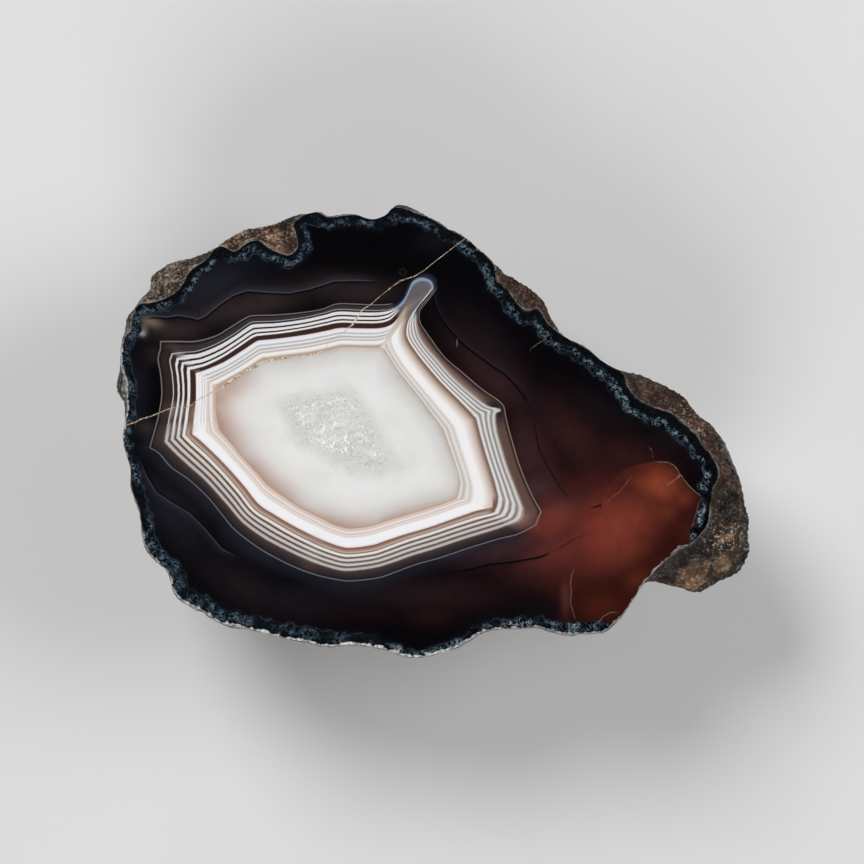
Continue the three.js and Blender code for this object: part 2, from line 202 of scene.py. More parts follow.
# The veins' lines, and the width that they share
VEIN_WIDTH = 0.16
VEIN_UPPER_LEFT = [
    (-35.0, 13.2), (-33.5, 13.5), (-32.0, 13.4), (-30.5, 13.6), (-29.0, 13.35), (-28.2, 13.15),
    (-27.4, 13.45), (-26.5, 14.2), (-25.3, 15.15), (-24.0, 16.0), (-22.3, 16.6), (-20.0, 16.4),
    (-17.2, 16.3), (-14.8, 16.8), (-11.8, 17.75), (-9.0, 17.8), (-6.2, 17.7),
]
VEIN_LOWER_LEFT = [
    (-23.2, -15.4), (-25.3, -14.4), (-27.4, -11.9), (-29.2, -10.1), (-31.4, -8.8), (-33.2, -7.6),
    (-34.4, -5.6), (-35.2, -3.5),
]
VEIN_RIGHT = [
    (0.0, 16.7), (0.2, 15.9), (0.4, 14.9), (0.9, 13.7), (1.5, 12.8), (2.1, 12.0), (2.9, 11.1),
    (4.0, 10.0), (6.0, 8.5), (7.5, 7.4), (8.8, 6.6), (10.0, 5.3), (11.0, 4.0), (12.0, 2.6),
]
VEIN_RIGHT_LOW = [
    (12.0, 1.8), (12.4, 0.0), (12.8, -2.2), (14.0, -4.6), (15.4, -7.0), (17.0, -9.0),
]
VEIN_LOWER_RIGHT = [
    (1.5, -17.2), (4.4, -16.7), (6.8, -16.1), (9.2, -15.9), (11.6, -15.5), (13.0, -15.2), (14.9, -14.3),
]
VEIN_FAR_RIGHT = [(14.0, -14.75), (15.4, -14.05), (16.9, -13.1), (19.1, -12.2)]
# Each vein's line, its width, its tone from dark to pale, and its strength
VEINS = [
    (VEIN_UPPER_LEFT, VEIN_WIDTH, 1.0, 0.9),
    (VEIN_LOWER_LEFT, VEIN_WIDTH, 0.9, 0.7),
    (VEIN_RIGHT, VEIN_WIDTH, 0.15, 1.0),
    (VEIN_RIGHT_LOW, VEIN_WIDTH, 0.1, 0.55),
    (VEIN_LOWER_RIGHT, VEIN_WIDTH, 0.1, 1.0),
    (VEIN_FAR_RIGHT, VEIN_WIDTH, 0.1, 0.4),
]
# The upper edge of the orange zone, in millimetres: x, y and how soft it is
SEAM = [
    (10.5, -10.8, 3.0), (14.0, -10.0, 3.0), (17.5, -8.8, 2.6), (20.0, -7.0, 1.8), (22.0, -5.5, 1.0),
    (24.0, -4.4, 0.35), (26.3, -3.95, 0.12), (28.6, -4.1, 0.08), (29.2, -4.8, 0.06), (30.0, -6.2, 0.06),
    (31.2, -7.3, 0.06), (32.2, -8.1, 0.06), (33.6, -8.9, 0.06),
]

# Small marks in the face: the line, half its width, its tone from dark to pale, and its strength
MARKS = [
    ([(16.9, -16.7), (16.5, -18.2), (16.6, -19.6), (16.5, -20.9), (17.1, -22.9)], 0.06, 0.4, 0.35),
    ([(26.3, -3.9), (28.7, -4.05), (29.3, -4.8), (30.1, -6.1), (31.2, -7.3), (32.2, -8.1)], 0.05, 0.5, 0.45),
    ([(28.1, -6.7), (28.8, -6.3), (29.5, -5.7)], 0.08, 0.45, 0.35),
    ([(32.0, -8.5), (31.6, -10.0), (30.9, -12.2)], 0.04, 0.4, 0.4),
    ([(23.9, -5.6), (22.6, -7.3), (20.6, -9.0)], 0.07, 0.3, 0.3),
    ([(18.9, -9.5), (20.4, -9.05)], 0.14, 0.0, 0.85),
    ([(2.9, 10.8), (2.85, 9.8)], 0.05, 0.7, 0.35),
    ([(11.6, 9.5), (12.6, 10.3), (13.4, 10.7)], 0.06, 0.6, 0.25),
    ([(26.1, -2.3), (26.3, -2.8)], 0.08, 0.6, 0.25),
    ([(-4.7, -26.9), (-3.8, -26.1)], 0.32, 0.8, 0.6),
    ([(-4.3, -27.1), (-4.0, -26.3)], 0.15, 1.0, 0.95),
    ([(19.9, -23.2), (20.4, -22.5), (21.3, -22.0), (22.1, -22.0)], 0.06, 0.7, 0.2),
    ([(10.0, 5.4), (10.8, 4.5), (11.4, 3.5)], 0.07, 0.0, 0.9),
    ([(7.1, 2.3), (8.2, 2.25)], 0.18, 1.0, 0.85),
]
# How far from a vein or a mark its colour reaches, and over how many of its points it fades at its ends
VEIN_REACH = 3.5
VEIN_FADE = 1
MARK_REACH = 1.0
MARK_FADE = 0.2
# The round inclusion: x, y and its radius
INCLUSION = (-3.6, 18.8, 0.4)

# The speckled border at places round the edge: x, y, width of its black outside, width of its strands,
# both in millimetres, how pale the strands are, and how pale the rim outside it is. That pale rim is
# partly bare rind and partly a painted highlight where the lower edge catches the light.
BORDER = [
    (-37.3, 0.5, 0.0, 1.1, 0.25, 0.7), (-36.6, 9.0, 0.0, 1.1, 0.2, 0.7),
    (-35.0, 14.2, 0.3, 0.9, 0.35, 0.2), (-30.0, 17.0, 0.5, 0.8, 0.55, 0.1),
    (-24.5, 21.2, 0.5, 0.8, 0.4, 0.1), (-18.5, 21.0, 0.5, 0.9, 0.3, 0.1),
    (-13.5, 25.4, 0.4, 0.8, 0.25, 0.1), (-6.0, 25.0, 0.3, 1.0, 0.35, 0.1),
    (0.0, 25.4, 0.5, 0.7, 0.3, 0.1), (5.5, 21.9, 0.4, 1.0, 0.45, 0.4),
    (10.5, 16.5, 0.6, 1.0, 0.5, 0.2), (16.0, 11.0, 0.7, 1.0, 0.6, 0.1),
    (22.0, 7.2, 0.8, 1.0, 0.6, 0.2), (27.0, 4.0, 1.1, 0.9, 0.55, 0.2),
    (32.0, -1.5, 1.0, 0.9, 0.65, 0.25), (34.2, -6.0, 0.7, 0.9, 0.65, 0.15),
    (33.6, -9.5, 0.3, 1.0, 0.9, 0.1), (32.6, -13.2, 0.2, 1.1, 1.0, 0.1),
    (31.0, -14.7, 0.0, 0.0, 0.5, 0.4), (26.0, -19.0, 0.0, 0.0, 0.5, 0.45),
    (22.5, -23.4, 0.0, 0.0, 0.5, 0.4), (20.5, -24.0, 0.1, 1.3, 0.7, 0.5),
    (15.0, -25.2, 0.1, 1.2, 0.65, 0.5), (10.0, -24.3, 0.1, 1.0, 0.8, 0.5),
    (4.0, -26.0, 0.1, 0.8, 0.7, 0.8), (-2.0, -27.6, 0.1, 0.5, 0.6, 1.0),
    (-6.0, -26.6, 0.4, 0.6, 0.2, 1.0), (-12.0, -24.4, 0.2, 1.5, 0.15, 1.0),
    (-20.0, -21.8, 0.1, 1.6, 0.15, 1.0), (-27.0, -17.8, 0.0, 1.7, 0.25, 0.9),
    (-32.0, -12.5, 0.0, 1.3, 0.25, 0.4), (-35.0, -6.5, 0.0, 1.2, 0.3, 0.15),
    (-36.6, -2.5, 0.0, 1.1, 0.3, 0.4),
]
# How far the border's edges wander, and the width of the pale rim outside it, partly painted highlight
BORDER_WANDER = 1.8
LIP_AND_HIGHLIGHT_WIDTH = 0.22

# Soft patches, in millimetres and degrees: x, y, half length, half width, turn, strength
ZONES = {
    "blue": [
        (-27.4, 17.2, 11, 5, 12, 1.0), (-35.5, 5.0, 2.5, 7, 0, 0.5), (-31.3, -10.0, 10, 4.4, -50, 0.7),
        (-9.5, -19.6, 16, 2.6, 0, 0.4), (0.0, 22.5, 4, 2.5, 0, 0.3), (-22.0, -14.5, 8, 2.5, -30, 0.5),
    ],
    "brown": [
        (-22.0, 14.8, 12, 2.8, 14, 1.0), (-8.5, 16.4, 8, 2.6, 0, 0.8), (-33.5, 9.0, 2, 2, 0, 0.5),
        (-28.5, -6.5, 8, 3, -45, 0.35), (-12.0, 17.0, 8, 3, 0, 0.6), (-30.5, 11.9, 6, 2.2, 5, 0.95),
    ],
    "maroon": [
        (7.5, 6.0, 10, 4.2, -45, 0.75), (12.5, -3.0, 10, 5.5, 105, 0.8), (16.6, -0.9, 10, 4.8, -45, 0.8),
        (22.5, -3.5, 10, 5, -15, 0.5), (14.0, -16.0, 11, 4.5, 12, 0.85), (2.0, -20.0, 13, 3.5, 3, 0.42),
        (-8.0, -22.0, 10, 2.5, 0, 0.15), (0.0, -22.2, 5, 2.4, 0, 0.4),
    ],
    "plum": [
        (7.0, 6.6, 9, 2.4, -45, 0.3), (11.0, -3.0, 8, 2.4, 95, 0.4), (8.0, -14.6, 8, 2, 14, 0.6),
        (12.6, -7.4, 4, 3, 0, 1.0), (13.5, -14.0, 5, 2.5, 20, 0.5), (4.0, -14.6, 6, 1.5, 12, 0.5),
    ],
    "dusk": [
        (11.6, 3.4, 7, 3, -55, 0.5), (20.5, 2.0, 8, 3, -35, 0.5), (28.0, -1.4, 4, 2.4, -40, 0.5),
        (-23.0, -18.8, 10, 3.8, -33, 0.9), (-17.0, -21.0, 8, 3, -12, 0.7), (6.0, 10.5, 10, 4.4, -45, 0.7),
        (0.0, -19.5, 12, 3.6, 0, 0.35),
    ],
    "garnet": [(18.0, -7.6, 9, 4.4, 25, 0.9), (24.0, -3.5, 8, 2.6, -20, 0.25)],
    "rose": [(14.4, -10.6, 5, 3, 20, 0.9), (12.4, -11.4, 1.6, 1.6, 0, 1.0)],
    "red": [
        (20.5, -12.4, 10, 7, 25, 1.0), (14.5, -11.2, 6, 3.6, 0, 0.8), (17.0, -14.0, 8, 4, 20, 0.7),
    ],
    "orange": [
        (27.0, -6.6, 5, 3.6, -25, 1.0), (24.0, -10.5, 7, 5, 30, 0.5), (23.0, -14.5, 6, 3.5, 30, 0.35),
        (28.0, -9.6, 3, 3, 0, 0.4), (24.5, -18.0, 3, 2.4, 45, 0.3),
        (30.0, -8.2, 2.6, 2.6, 0, 0.5),
    ],
    "ember": [
        (30.6, -12.2, 2.8, 4, -20, 0.8), (28.4, -16.2, 5, 2.6, 40, 0.85), (20.0, -21.2, 7, 4, 0, 0.95),
        (24.5, -4.8, 3, 1.8, 10, 0.7), (16.0, -19.0, 4, 4, 0, 0.5),
    ],
    "soot": [(12.6, -21.5, 6, 2.4, 0, 0.9), (7.5, -22.8, 8, 2, 0, 0.7)],
    "rust": [(15.9, -20.3, 0.9, 3.4, 0, 0.8)],
    "smoke": [(-34.4, 0.2, 2.0, 1.6, 0, 0.9)],
    "tan": [(-33.9, 12.9, 2.3, 1.0, -18, 0.75), (-34.7, 12.3, 0.9, 1.4, 0, 0.6)],
    "white_spot": [(-34.9, 11.5, 0.6, 0.42, 0, 1.0)],
    "specks": [(-28.2, 14.5, 1.1, 1.0, 0, 1.0)],
    "warm_quartz": [
        (-26.0, 0.0, 9, 9, 0, 1.0), (-21.0, -7.0, 9, 6, -40, 1.0), (-12.0, -12.0, 9, 4, 0, 0.9),
        (-3.0, -10.5, 9, 3, 18, 0.5), (-24.6, 4.0, 6, 4, 20, 1.0),
    ],
    "tan_rind": [
        (-31.5, 18.0, 7, 4, 45, 1.0), (-35.5, 14.0, 4, 3, 60, 0.9), (-27.0, 21.5, 5, 3, 30, 0.8),
    ],
    "ochre_rind": [(-24.2, 22.6, 3.6, 2.6, 20, 1.0), (-19.2, 22.8, 4, 3.4, 0, 1.0)],
    "pale_rind": [(-37.8, 5.0, 2.2, 6, 0, 1.0), (-38.0, -1.5, 2, 3, 0, 0.8), (-36.8, 11.5, 2, 3, 0, 0.7)],
    "brown_rind": [
        (12.4, 15.6, 9, 2.8, -45, 1.0), (29.0, 2.0, 8, 2.8, -38, 1.0), (33.8, -3.2, 7, 2.2, -58, 1.0),
    ],
    "dark_rind": [(35.7, -9.0, 2.0, 3.6, 0, 1.0), (27.2, -19.4, 3, 1.2, 20, 0.8)],
    # Grey rind, with a painted highlight along the lit outer rim at the right
    "grey_and_lit_rind": [
        (32.0, 3.4, 7, 1.2, -40, 0.9), (36.6, -3.5, 6, 1.4, -62, 1.0), (38.4, -11.5, 1.3, 6, 0, 1.0),
        (36.6, -17.6, 3.4, 1.2, 40, 0.8),
    ],
    # The smooth ledge by the broken edge: partly its dark colour, partly painted shade
    "smooth_rind_and_shade": [(29.0, -16.2, 7, 3.4, 30, 1.0), (31.5, -13.8, 3, 2.4, 0, 0.8)],
    "scars": [
        (31.2, -17.9, 3.8, 2.1, 42, 1.1), (34.9, -16.3, 2.0, 1.5, 40, 1.0), (35.4, -13.2, 2.4, 1.1, 0, 0.55),
        (-23.5, 23.6, 1.5, 0.8, 20, 0.6), (-18.0, 21.6, 1.3, 1.2, 0, 0.5),
    ],
    "glitter": [
        (35.0, -13.4, 4, 2.4, 20, 1.0), (33.2, -12.0, 2, 1.2, 0, 0.7), (-31.5, 17.5, 6, 4, 45, 0.6),
        (-21.5, 22.5, 7, 3, 0, 0.6), (-36.0, 13.0, 2, 4, 0, 0.6), (31.0, 1.0, 5, 2.5, -50, 0.5),
    ],
}
ZONE_COLOURS = {
    "blue": (31, 32, 40),
    "brown": (48, 38, 39),
    "maroon": (55, 29, 29),
    "plum": (62, 43, 47),
    "dusk": (29, 22, 26),
    "garnet": (64, 28, 26),
    "rose": (104, 56, 54),
    "red": (112, 48, 40),
    "orange": (132, 61, 42),
    "ember": (66, 25, 18),
    "soot": (14, 12, 15),
    "smoke": (46, 42, 45),
    "rust": (82, 46, 40),
    "tan": (120, 106, 96),
    "white_spot": (175, 182, 190),
}
# The zones that end at the seam, and the agate's colour outside every zone
BELOW_SEAM = ("red", "orange", "ember")
DARKEST = (6, 5, 8)
# The glow next to the lower bands, and the pale specks at the upper left
GLOW_COLOUR = (48, 51, 62)
SPECK_COLOUR = (150, 150, 155)

# The veins' black side, the pale haze on the other, and their line
VEIN_BLACK = (7, 6, 9)
VEIN_HAZE = (58, 60, 72)
VEIN_PALE = (84, 84, 96)

# The border, from the haze inside it to its black outside, and the rim round it, partly bare rind and
# partly a painted highlight of the lit lower edge. A pair's first colour is where the strands are dark, and
# its second where they are pale.
BORDER_HAZE = (20, 25, 33)
BORDER_LINE = (58, 70, 85)
BORDER_GROUNDS = ((12, 17, 22), (2, 3, 5))
BORDER_STRANDS = ((46, 63, 76), (144, 166, 183))
BORDER_OUTSIDE = (34, 38, 40)
LIP_AND_HIGHLIGHT_BROWN = (104, 82, 76)
LIP_AND_HIGHLIGHT_SHADES = [(0.3, (96, 97, 96)), (0.5, (164, 165, 163)), (0.66, (222, 223, 221))]

# Marks by their tone, flakes in the crack, and the inclusion
MARK_SHADES = [(0.0, (18, 8, 8)), (0.3, (150, 92, 80)), (0.6, (168, 142, 130)), (1.0, (205, 206, 200))]
CRACK_SHADES = [(0.36, (138, 111, 89)), (0.5, (188, 165, 138)), (0.62, (242, 228, 203))]
INCLUSION_MIDDLE = (14, 12, 15)
INCLUSION_RING = (120, 110, 104)

# The quartz by its depth from its edge, as shares of QUARTZ_DEPTH millimetres
QUARTZ_DEPTH = 4.0
QUARTZ_WARM = [
    (0.0, (178, 146, 131)), (0.08, (178, 151, 139)), (0.3, (196, 173, 163)), (0.6, (216, 202, 195)),
    (1.0, (233, 229, 226)),
]
QUARTZ_COOL = [
    (0.0, (190, 180, 173)), (0.06, (201, 196, 191)), (0.2, (215, 212, 209)), (0.6, (229, 229, 228)),
    (1.0, (235, 235, 234)),
]
QUARTZ_CLOUDS = (220, 219, 217)
CRYSTAL_BODY = (208, 208, 203)
CRYSTAL_MILK = (232, 232, 228)
CRYSTAL_GRAINS = (168, 168, 162)
CRYSTAL_GLINTS = (255, 255, 252)

# The rind's colours in its own patches: in its hollows and on its grains
RIND_BASE = ((34, 33, 31), (112, 106, 96))
RIND_COLOURS = {
    "tan_rind": ((58, 50, 43), (194, 175, 153)),
    "ochre_rind": ((60, 43, 34), (200, 160, 128)),
    "pale_rind": ((76, 78, 73), (214, 212, 203)),
    "brown_rind": ((60, 42, 36), (130, 96, 80)),
    "dark_rind": ((30, 29, 28), (78, 74, 68)),
    # Grey rind, and a painted highlight along the lit outer rim
    "grey_and_lit_rind": ((54, 56, 50), (176, 170, 156)),
    # The smooth ledge: partly its dark colour, partly painted shade
    "smooth_rind_and_shade": ((52, 44, 42), (78, 67, 62)),
    "scars": ((120, 93, 73), (204, 172, 144)),
}
RIND_ZONES = (*RIND_COLOURS, "glitter")
RIND_BROWN = (80, 60, 46)
RIND_SPARKS = (222, 208, 190)
RIND_PORES = (22, 20, 19)
RIND_EDGE = (158, 148, 138)
# The lip's pale colour: partly pale rind, partly a painted highlight of the lit lower edge
RIND_LIP_AND_HIGHLIGHT = (176, 176, 171)

# How deep below the face, in millimetres, the rind's patches fade, its pale edge ends and its lip fades.
# The lip's paleness is partly a painted highlight of the lit lower edge.
PATCHES_FADE = (9, 5)
EDGE_ENDS = (8, 9)
LIP_AND_HIGHLIGHT_FADES = (1.1, 0.2)
# The lip is on the lower side: it starts over this stretch down a slanting way, and ends over this x
LIP_AND_HIGHLIGHT_SLANT = 0.2
LIP_AND_HIGHLIGHT_STARTS = (4, 9)
LIP_AND_HIGHLIGHT_STOPS = (26, 22)

# Colours across each side's bands. The first list is the white band, from the quartz outwards, and the
# second the brown band: shares of the band's width with colours. The fine lines follow, as shares of
# their strip, with the white, the gap's colour and how soft the edges are. The last list is the dark
# strip outside them.
WHITE_LEFT = [
    (-0.05, (200, 164, 138)), (0.0, (212, 176, 146)), (0.06, (200, 176, 162)), (0.15, (222, 208, 200)),
    (0.24, (248, 243, 239)), (0.31, (208, 198, 193)), (0.43, (219, 212, 208)), (0.5, (249, 246, 245)),
    (0.56, (203, 199, 199)), (0.62, (250, 248, 248)), (0.68, (206, 203, 204)), (0.74, (249, 247, 247)),
    (0.82, (236, 233, 234)), (0.96, (246, 243, 243)),
]
WHITE_LOW = [
    (-0.05, (190, 158, 142)), (0.0, (190, 146, 122)), (0.05, (216, 190, 176)), (0.16, (220, 202, 194)),
    (0.24, (243, 236, 232)), (0.31, (206, 190, 184)), (0.38, (236, 228, 225)), (0.44, (218, 206, 201)),
    (0.52, (246, 243, 243)), (0.7, (247, 246, 248)), (0.9, (244, 243, 247)), (0.97, (226, 217, 213)),
]
WHITE_TOP = [
    (-0.05, (204, 184, 164)), (0.0, (206, 170, 140)), (0.07, (172, 156, 146)), (0.18, (236, 230, 226)),
    (0.3, (247, 244, 243)), (0.38, (180, 172, 169)), (0.46, (238, 234, 232)), (0.54, (170, 165, 166)),
    (0.64, (244, 242, 242)), (0.72, (182, 178, 181)), (0.82, (240, 239, 241)), (0.96, (228, 226, 230)),
]
WHITE_RIGHT = [
    (-0.05, (200, 192, 184)), (0.0, (178, 162, 152)), (0.06, (234, 229, 225)), (0.14, (192, 182, 175)),
    (0.25, (234, 229, 225)), (0.34, (208, 200, 195)), (0.46, (244, 242, 242)), (0.7, (245, 243, 243)),
    (0.84, (230, 220, 214)), (0.98, (204, 188, 178)),
]
BROWN_DARK = [(0.02, (84, 60, 54)), (0.15, (60, 40, 36)), (0.85, (58, 40, 37)), (0.97, (78, 62, 59))]
BROWN_MIDDLE = [(0.02, (120, 90, 78)), (0.3, (122, 92, 80)), (0.8, (116, 88, 78)), (0.97, (112, 88, 80))]
BROWN_SOFT = [(0.02, (124, 90, 75)), (0.2, (132, 100, 86)), (0.5, (160, 132, 117)), (0.8, (196, 174, 161))]
BROWN_RIGHT = [(0.2, (188, 168, 156)), (0.5, (160, 136, 123)), (0.75, (132, 108, 98)), (0.92, (112, 92, 84))]
LINES_LEFT = [(0.0, 0.175), (0.33, 0.46), (0.59, 0.725), (0.92, 1.0)]
LINES_TOP = [(0.0, 0.17), (0.25, 0.47), (0.56, 0.82), (0.93, 1.0)]
LINES_LOW = [(0.0, 0.2), (0.27, 0.46), (0.53, 0.72), (0.8, 0.99)]
LINE_WHITES = [(234, 230, 228), (230, 228, 227), (225, 224, 225), (200, 199, 201)]
FADING_WHITES = [(230, 223, 218), (212, 206, 202), (202, 196, 194), (186, 182, 182)]
RIGHT_WHITES = [(222, 220, 217), (218, 219, 218), (214, 215, 214), (206, 205, 202)]
OUTSIDE_LEFT = [
    (0.03, (56, 40, 40)), (0.2, (42, 32, 33)), (0.3, (58, 45, 45)), (0.4, (42, 32, 33)),
    (0.55, (53, 42, 42)), (0.7, (39, 30, 31)), (0.92, (30, 24, 26)), (0.97, (116, 103, 98)),
    (1.02, (130, 119, 114)),
]
OUTSIDE_TOP = [
    (0.03, (54, 48, 49)), (0.15, (64, 58, 58)), (0.3, (47, 41, 42)), (0.45, (62, 56, 57)),
    (0.6, (46, 40, 42)), (0.75, (38, 33, 35)), (0.88, (20, 17, 19)), (0.96, (122, 115, 113)),
    (1.02, (116, 110, 108)),
]
OUTSIDE_LOW = [
    (0.03, (72, 61, 59)), (0.3, (56, 47, 48)), (0.7, (43, 37, 40)), (0.9, (30, 27, 31)),
    (0.96, (76, 76, 82)), (1.0, (112, 114, 122)), (1.03, (82, 84, 93)),
]
OUTSIDE_RIGHT = [
    (0.02, (150, 134, 124)), (0.12, (98, 80, 73)), (0.4, (92, 74, 66)), (0.7, (96, 72, 62)),
    (0.86, (52, 36, 33)), (0.92, (30, 20, 20)), (0.97, (128, 112, 106)), (1.02, (130, 114, 108)),
]
OUTSIDE_CORNER = [
    (0.02, (120, 116, 116)), (0.12, (50, 44, 46)), (0.5, (42, 34, 35)), (0.8, (60, 44, 42)),
    (0.92, (26, 18, 19)), (0.97, (128, 112, 106)), (1.02, (130, 114, 108)),
]
OUTSIDE_UPPER = [
    (0.02, (166, 150, 140)), (0.12, (138, 119, 109)), (0.4, (108, 88, 80)), (0.7, (70, 52, 48)),
    (0.86, (46, 32, 31)), (0.92, (30, 20, 20)), (0.97, (128, 112, 106)), (1.02, (130, 114, 108)),
]
OUTSIDE_CUT = [
    (0.03, (176, 152, 142)), (0.12, (134, 102, 95)), (0.5, (110, 78, 73)), (0.9, (86, 56, 53)),
    (1.0, (138, 106, 99)),
]
BAND_SIDES = {
    "right": (WHITE_RIGHT, BROWN_RIGHT, (LINES_LOW, RIGHT_WHITES, (150, 142, 137), 0.06), OUTSIDE_RIGHT),
    "right_corner": (
        WHITE_RIGHT, BROWN_RIGHT, (LINES_LOW, RIGHT_WHITES, (150, 142, 137), 0.06), OUTSIDE_CORNER,
    ),
    "upper_right": (WHITE_RIGHT, BROWN_RIGHT, (LINES_LOW, LINE_WHITES, (154, 145, 140), 0.06), OUTSIDE_UPPER),
    "left": (WHITE_LEFT, BROWN_DARK, (LINES_LEFT, LINE_WHITES, (56, 40, 38), 0.03), OUTSIDE_LEFT),
    "left_low": (WHITE_LEFT, BROWN_MIDDLE, (LINES_LEFT, LINE_WHITES, (78, 56, 50), 0.03), OUTSIDE_LEFT),
    "lower_left": (WHITE_LOW, BROWN_SOFT, (LINES_LOW, FADING_WHITES, (98, 76, 67), 0.05), OUTSIDE_LOW),
    "bottom": (WHITE_LOW, BROWN_SOFT, (LINES_LOW, FADING_WHITES, (104, 88, 81), 0.05), OUTSIDE_LOW),
    "cut_corner": (WHITE_RIGHT, BROWN_MIDDLE, (LINES_LOW, RIGHT_WHITES, (140, 124, 116), 0.05), OUTSIDE_CUT),
    "finger_right": (
        [(-0.05, (226, 216, 206)), (0.5, (206, 194, 184)), (0.95, (176, 160, 148))],
        [(0.1, (140, 122, 112)), (0.5, (112, 105, 107)), (0.95, (104, 102, 108))],
        ([(0.05, 0.6)], [(214, 214, 216)], (120, 120, 126), 0.1),
        [
            (0.03, (24, 24, 28)), (0.35, (30, 30, 34)), (0.5, (146, 146, 148)), (0.65, (30, 30, 34)),
            (0.9, (20, 20, 22)), (1.0, (116, 112, 112)),
        ],
    ),
    "finger": (
        [(-0.05, (226, 216, 206)), (0.5, (200, 186, 174)), (0.95, (156, 138, 127))],
        [(0.1, (122, 109, 103)), (0.5, (98, 94, 97)), (0.95, (99, 98, 104))],
        ([(0.25, 0.97)], [(140, 154, 172)], (104, 108, 119), 0.2),
        [(0.05, (42, 55, 75)), (0.3, (34, 45, 62)), (0.7, (26, 33, 46)), (1.0, (14, 15, 21))],
    ),
    "top": (WHITE_TOP, BROWN_DARK, (LINES_TOP, LINE_WHITES, (42, 37, 39), 0.035), OUTSIDE_TOP),
}
# The colour ramps start at the low value, counted in bands from the middle, and cover the span
BAND_LOW = 0.9
BAND_SPAN = 4.3
# How far the bands' edges wander, as a share of a band
BAND_WOBBLE = 0.03

# Agate bends light as much as other quartz
AGATE_IOR = 1.54

# The rough side's relief, in millimetres: the size of its swells and creases and how deep they go
SWELLS = (6.0, 0.3)
CREASES = [(3.0, 0.28), (1.3, 0.14), (0.6, 0.07)]
CREASE_WIDTH = 0.3
PIT_SPREAD = 3.2
PIT_LEVEL = 0.3
PIT_DEPTH = 1.0
# The share of the relief on steep sides, and how far from the face and from the floor it is full
SIDE_RELIEF = 0.4
FACE_CLEAR = 0.5
FLOOR_CLEAR = 1.5
# How high the grains of the rind look
GRAIN_HEIGHT = 0.35
# Ledges that look upwards more than the slope are cut finer
LEDGE_CUTS = 3
LEDGE_SLOPE = 0.35

# The camera, in millimetres: its sensor, its height above the face, and the view's width and middle there
SENSOR = 36
CAMERA_HEIGHT = 1200
VIEW_WIDTH = 103.68
VIEW_MIDDLE = (-0.12, -0.36)

# The studio, in metres and watts
FLOOR_SIZE = 8
FLOOR_SHADES = [(0.3, (222, 222, 222)), (0.7, (228, 228, 228))]
# How bright the sky is at the horizon and from the given height up to the top
SKY_LOW = 0.4
SKY_TOP = 0.01
SKY_TOP_FROM = 0.93
# Each lamp's name, place, size and power
LAMPS = [
    ("key", (-1.1, 1.6, 2.0), 1.3, 48),
    ("right_fill", (2.1, 0.4, 1.7), 1.6, 30),
    ("front_fill", (-0.4, -2.2, 1.7), 1.6, 28),
]


def srgb(red, green, blue):
    """A colour as seen, 0 to 255, as the numbers that shaders take."""
    shares = [value / 255 for value in (red, green, blue)]
    linear = [s / 12.92 if s <= 0.04045 else ((s + 0.055) / 1.055) ** 2.4 for s in shares]
    return (*linear, 1.0)


def smoothstep(value, low, high):
    """0 below low, 1 above high and an even rise between them."""
    share = np.clip((np.asarray(value, float) - low) / (high - low), 0, 1)
    return share * share * (3 - 2 * share)


def along(points):
    """The length of a closed line up to each of its points, and its whole length last."""
    steps = np.linalg.norm(np.roll(points, -1, axis=0) - points, axis=1)
    return np.concatenate([[0], np.cumsum(steps)])


class Bands:
    """The face's bands as curves through the stations."""

    def __init__(self):
        stations = [station for side in SIDES.values() for station in side]
        self.points = np.array(stations)
        names = [name for name, side in SIDES.items() for _ in side]
        self.sides = {name: np.array([float(n == name) for n in names]) for name in SIDES}
        firsts = [k for k, name in enumerate(names) if k == 0 or names[k - 1] != name]
        self.corners = np.array(
            [k in firsts and names[k] in SHARP_STARTS for k in range(len(names))]
        )
        self.count = len(stations)

    def samples(self, steps):
        """Places all round, with so many steps from one station to the next."""
        return np.arange(self.count * steps) / steps

    def curve(self, band, places):
        """A band's edge at places, which count the stations. It bends sharply at the corners only."""
        first = np.floor(places).astype(int) % self.count
        share = (places - np.floor(places))[:, None]
        line = self.points[:, band]
        before, start, end, after = (line[(first + step) % self.count] for step in (-1, 0, 1, 2))
        leaves = np.where(self.corners[first][:, None], end - start, (end - before) / 2)
        next_corner = self.corners[(first + 1) % self.count][:, None]
        arrives = np.where(next_corner, end - start, (after - start) / 2)
        square, cube = share**2, share**3
        return (
            (2 * cube - 3 * square + 1) * start
            + (cube - 2 * square + share) * leaves
            + (3 * square - 2 * cube) * end
            + (cube - square) * arrives
        )

    def side(self, name, places):
        """How far a place belongs to a side, from 0 to 1."""
        first = np.floor(places).astype(int) % self.count
        share = places - np.floor(places)
        weight = self.sides[name]
        return weight[first] * (1 - share) + weight[(first + 1) % self.count] * share


def rough_side(node):
    """The CAD solid without its sawn face, smoothed once so that its facets don't show."""
    shape = bmesh.new()
    shape.from_mesh(node.data)
    bmesh.ops.remove_doubles(shape, verts=shape.verts, dist=WELD * MM)
    level = (TOP - WELD) * MM
    sawn = [face for face in shape.faces if all(vert.co.z > level for vert in face.verts)]
    bmesh.ops.delete(shape, geom=sawn, context="FACES")
    mesh = bpy.data.meshes.new("rough_side")
    shape.to_mesh(mesh)
    shape.free()
    coarse = bpy.data.objects.new("rough_side", mesh)
    bpy.context.scene.collection.objects.link(coarse)
    coarse.modifiers.new("round", "SUBSURF").levels = 1
    bpy.context.view_layer.update()
    smooth = bpy.data.meshes.new_from_object(
        coarse.evaluated_get(bpy.context.evaluated_depsgraph_get())
    )
    bpy.data.objects.remove(coarse)
    divide_ledges(smooth)
    return smooth


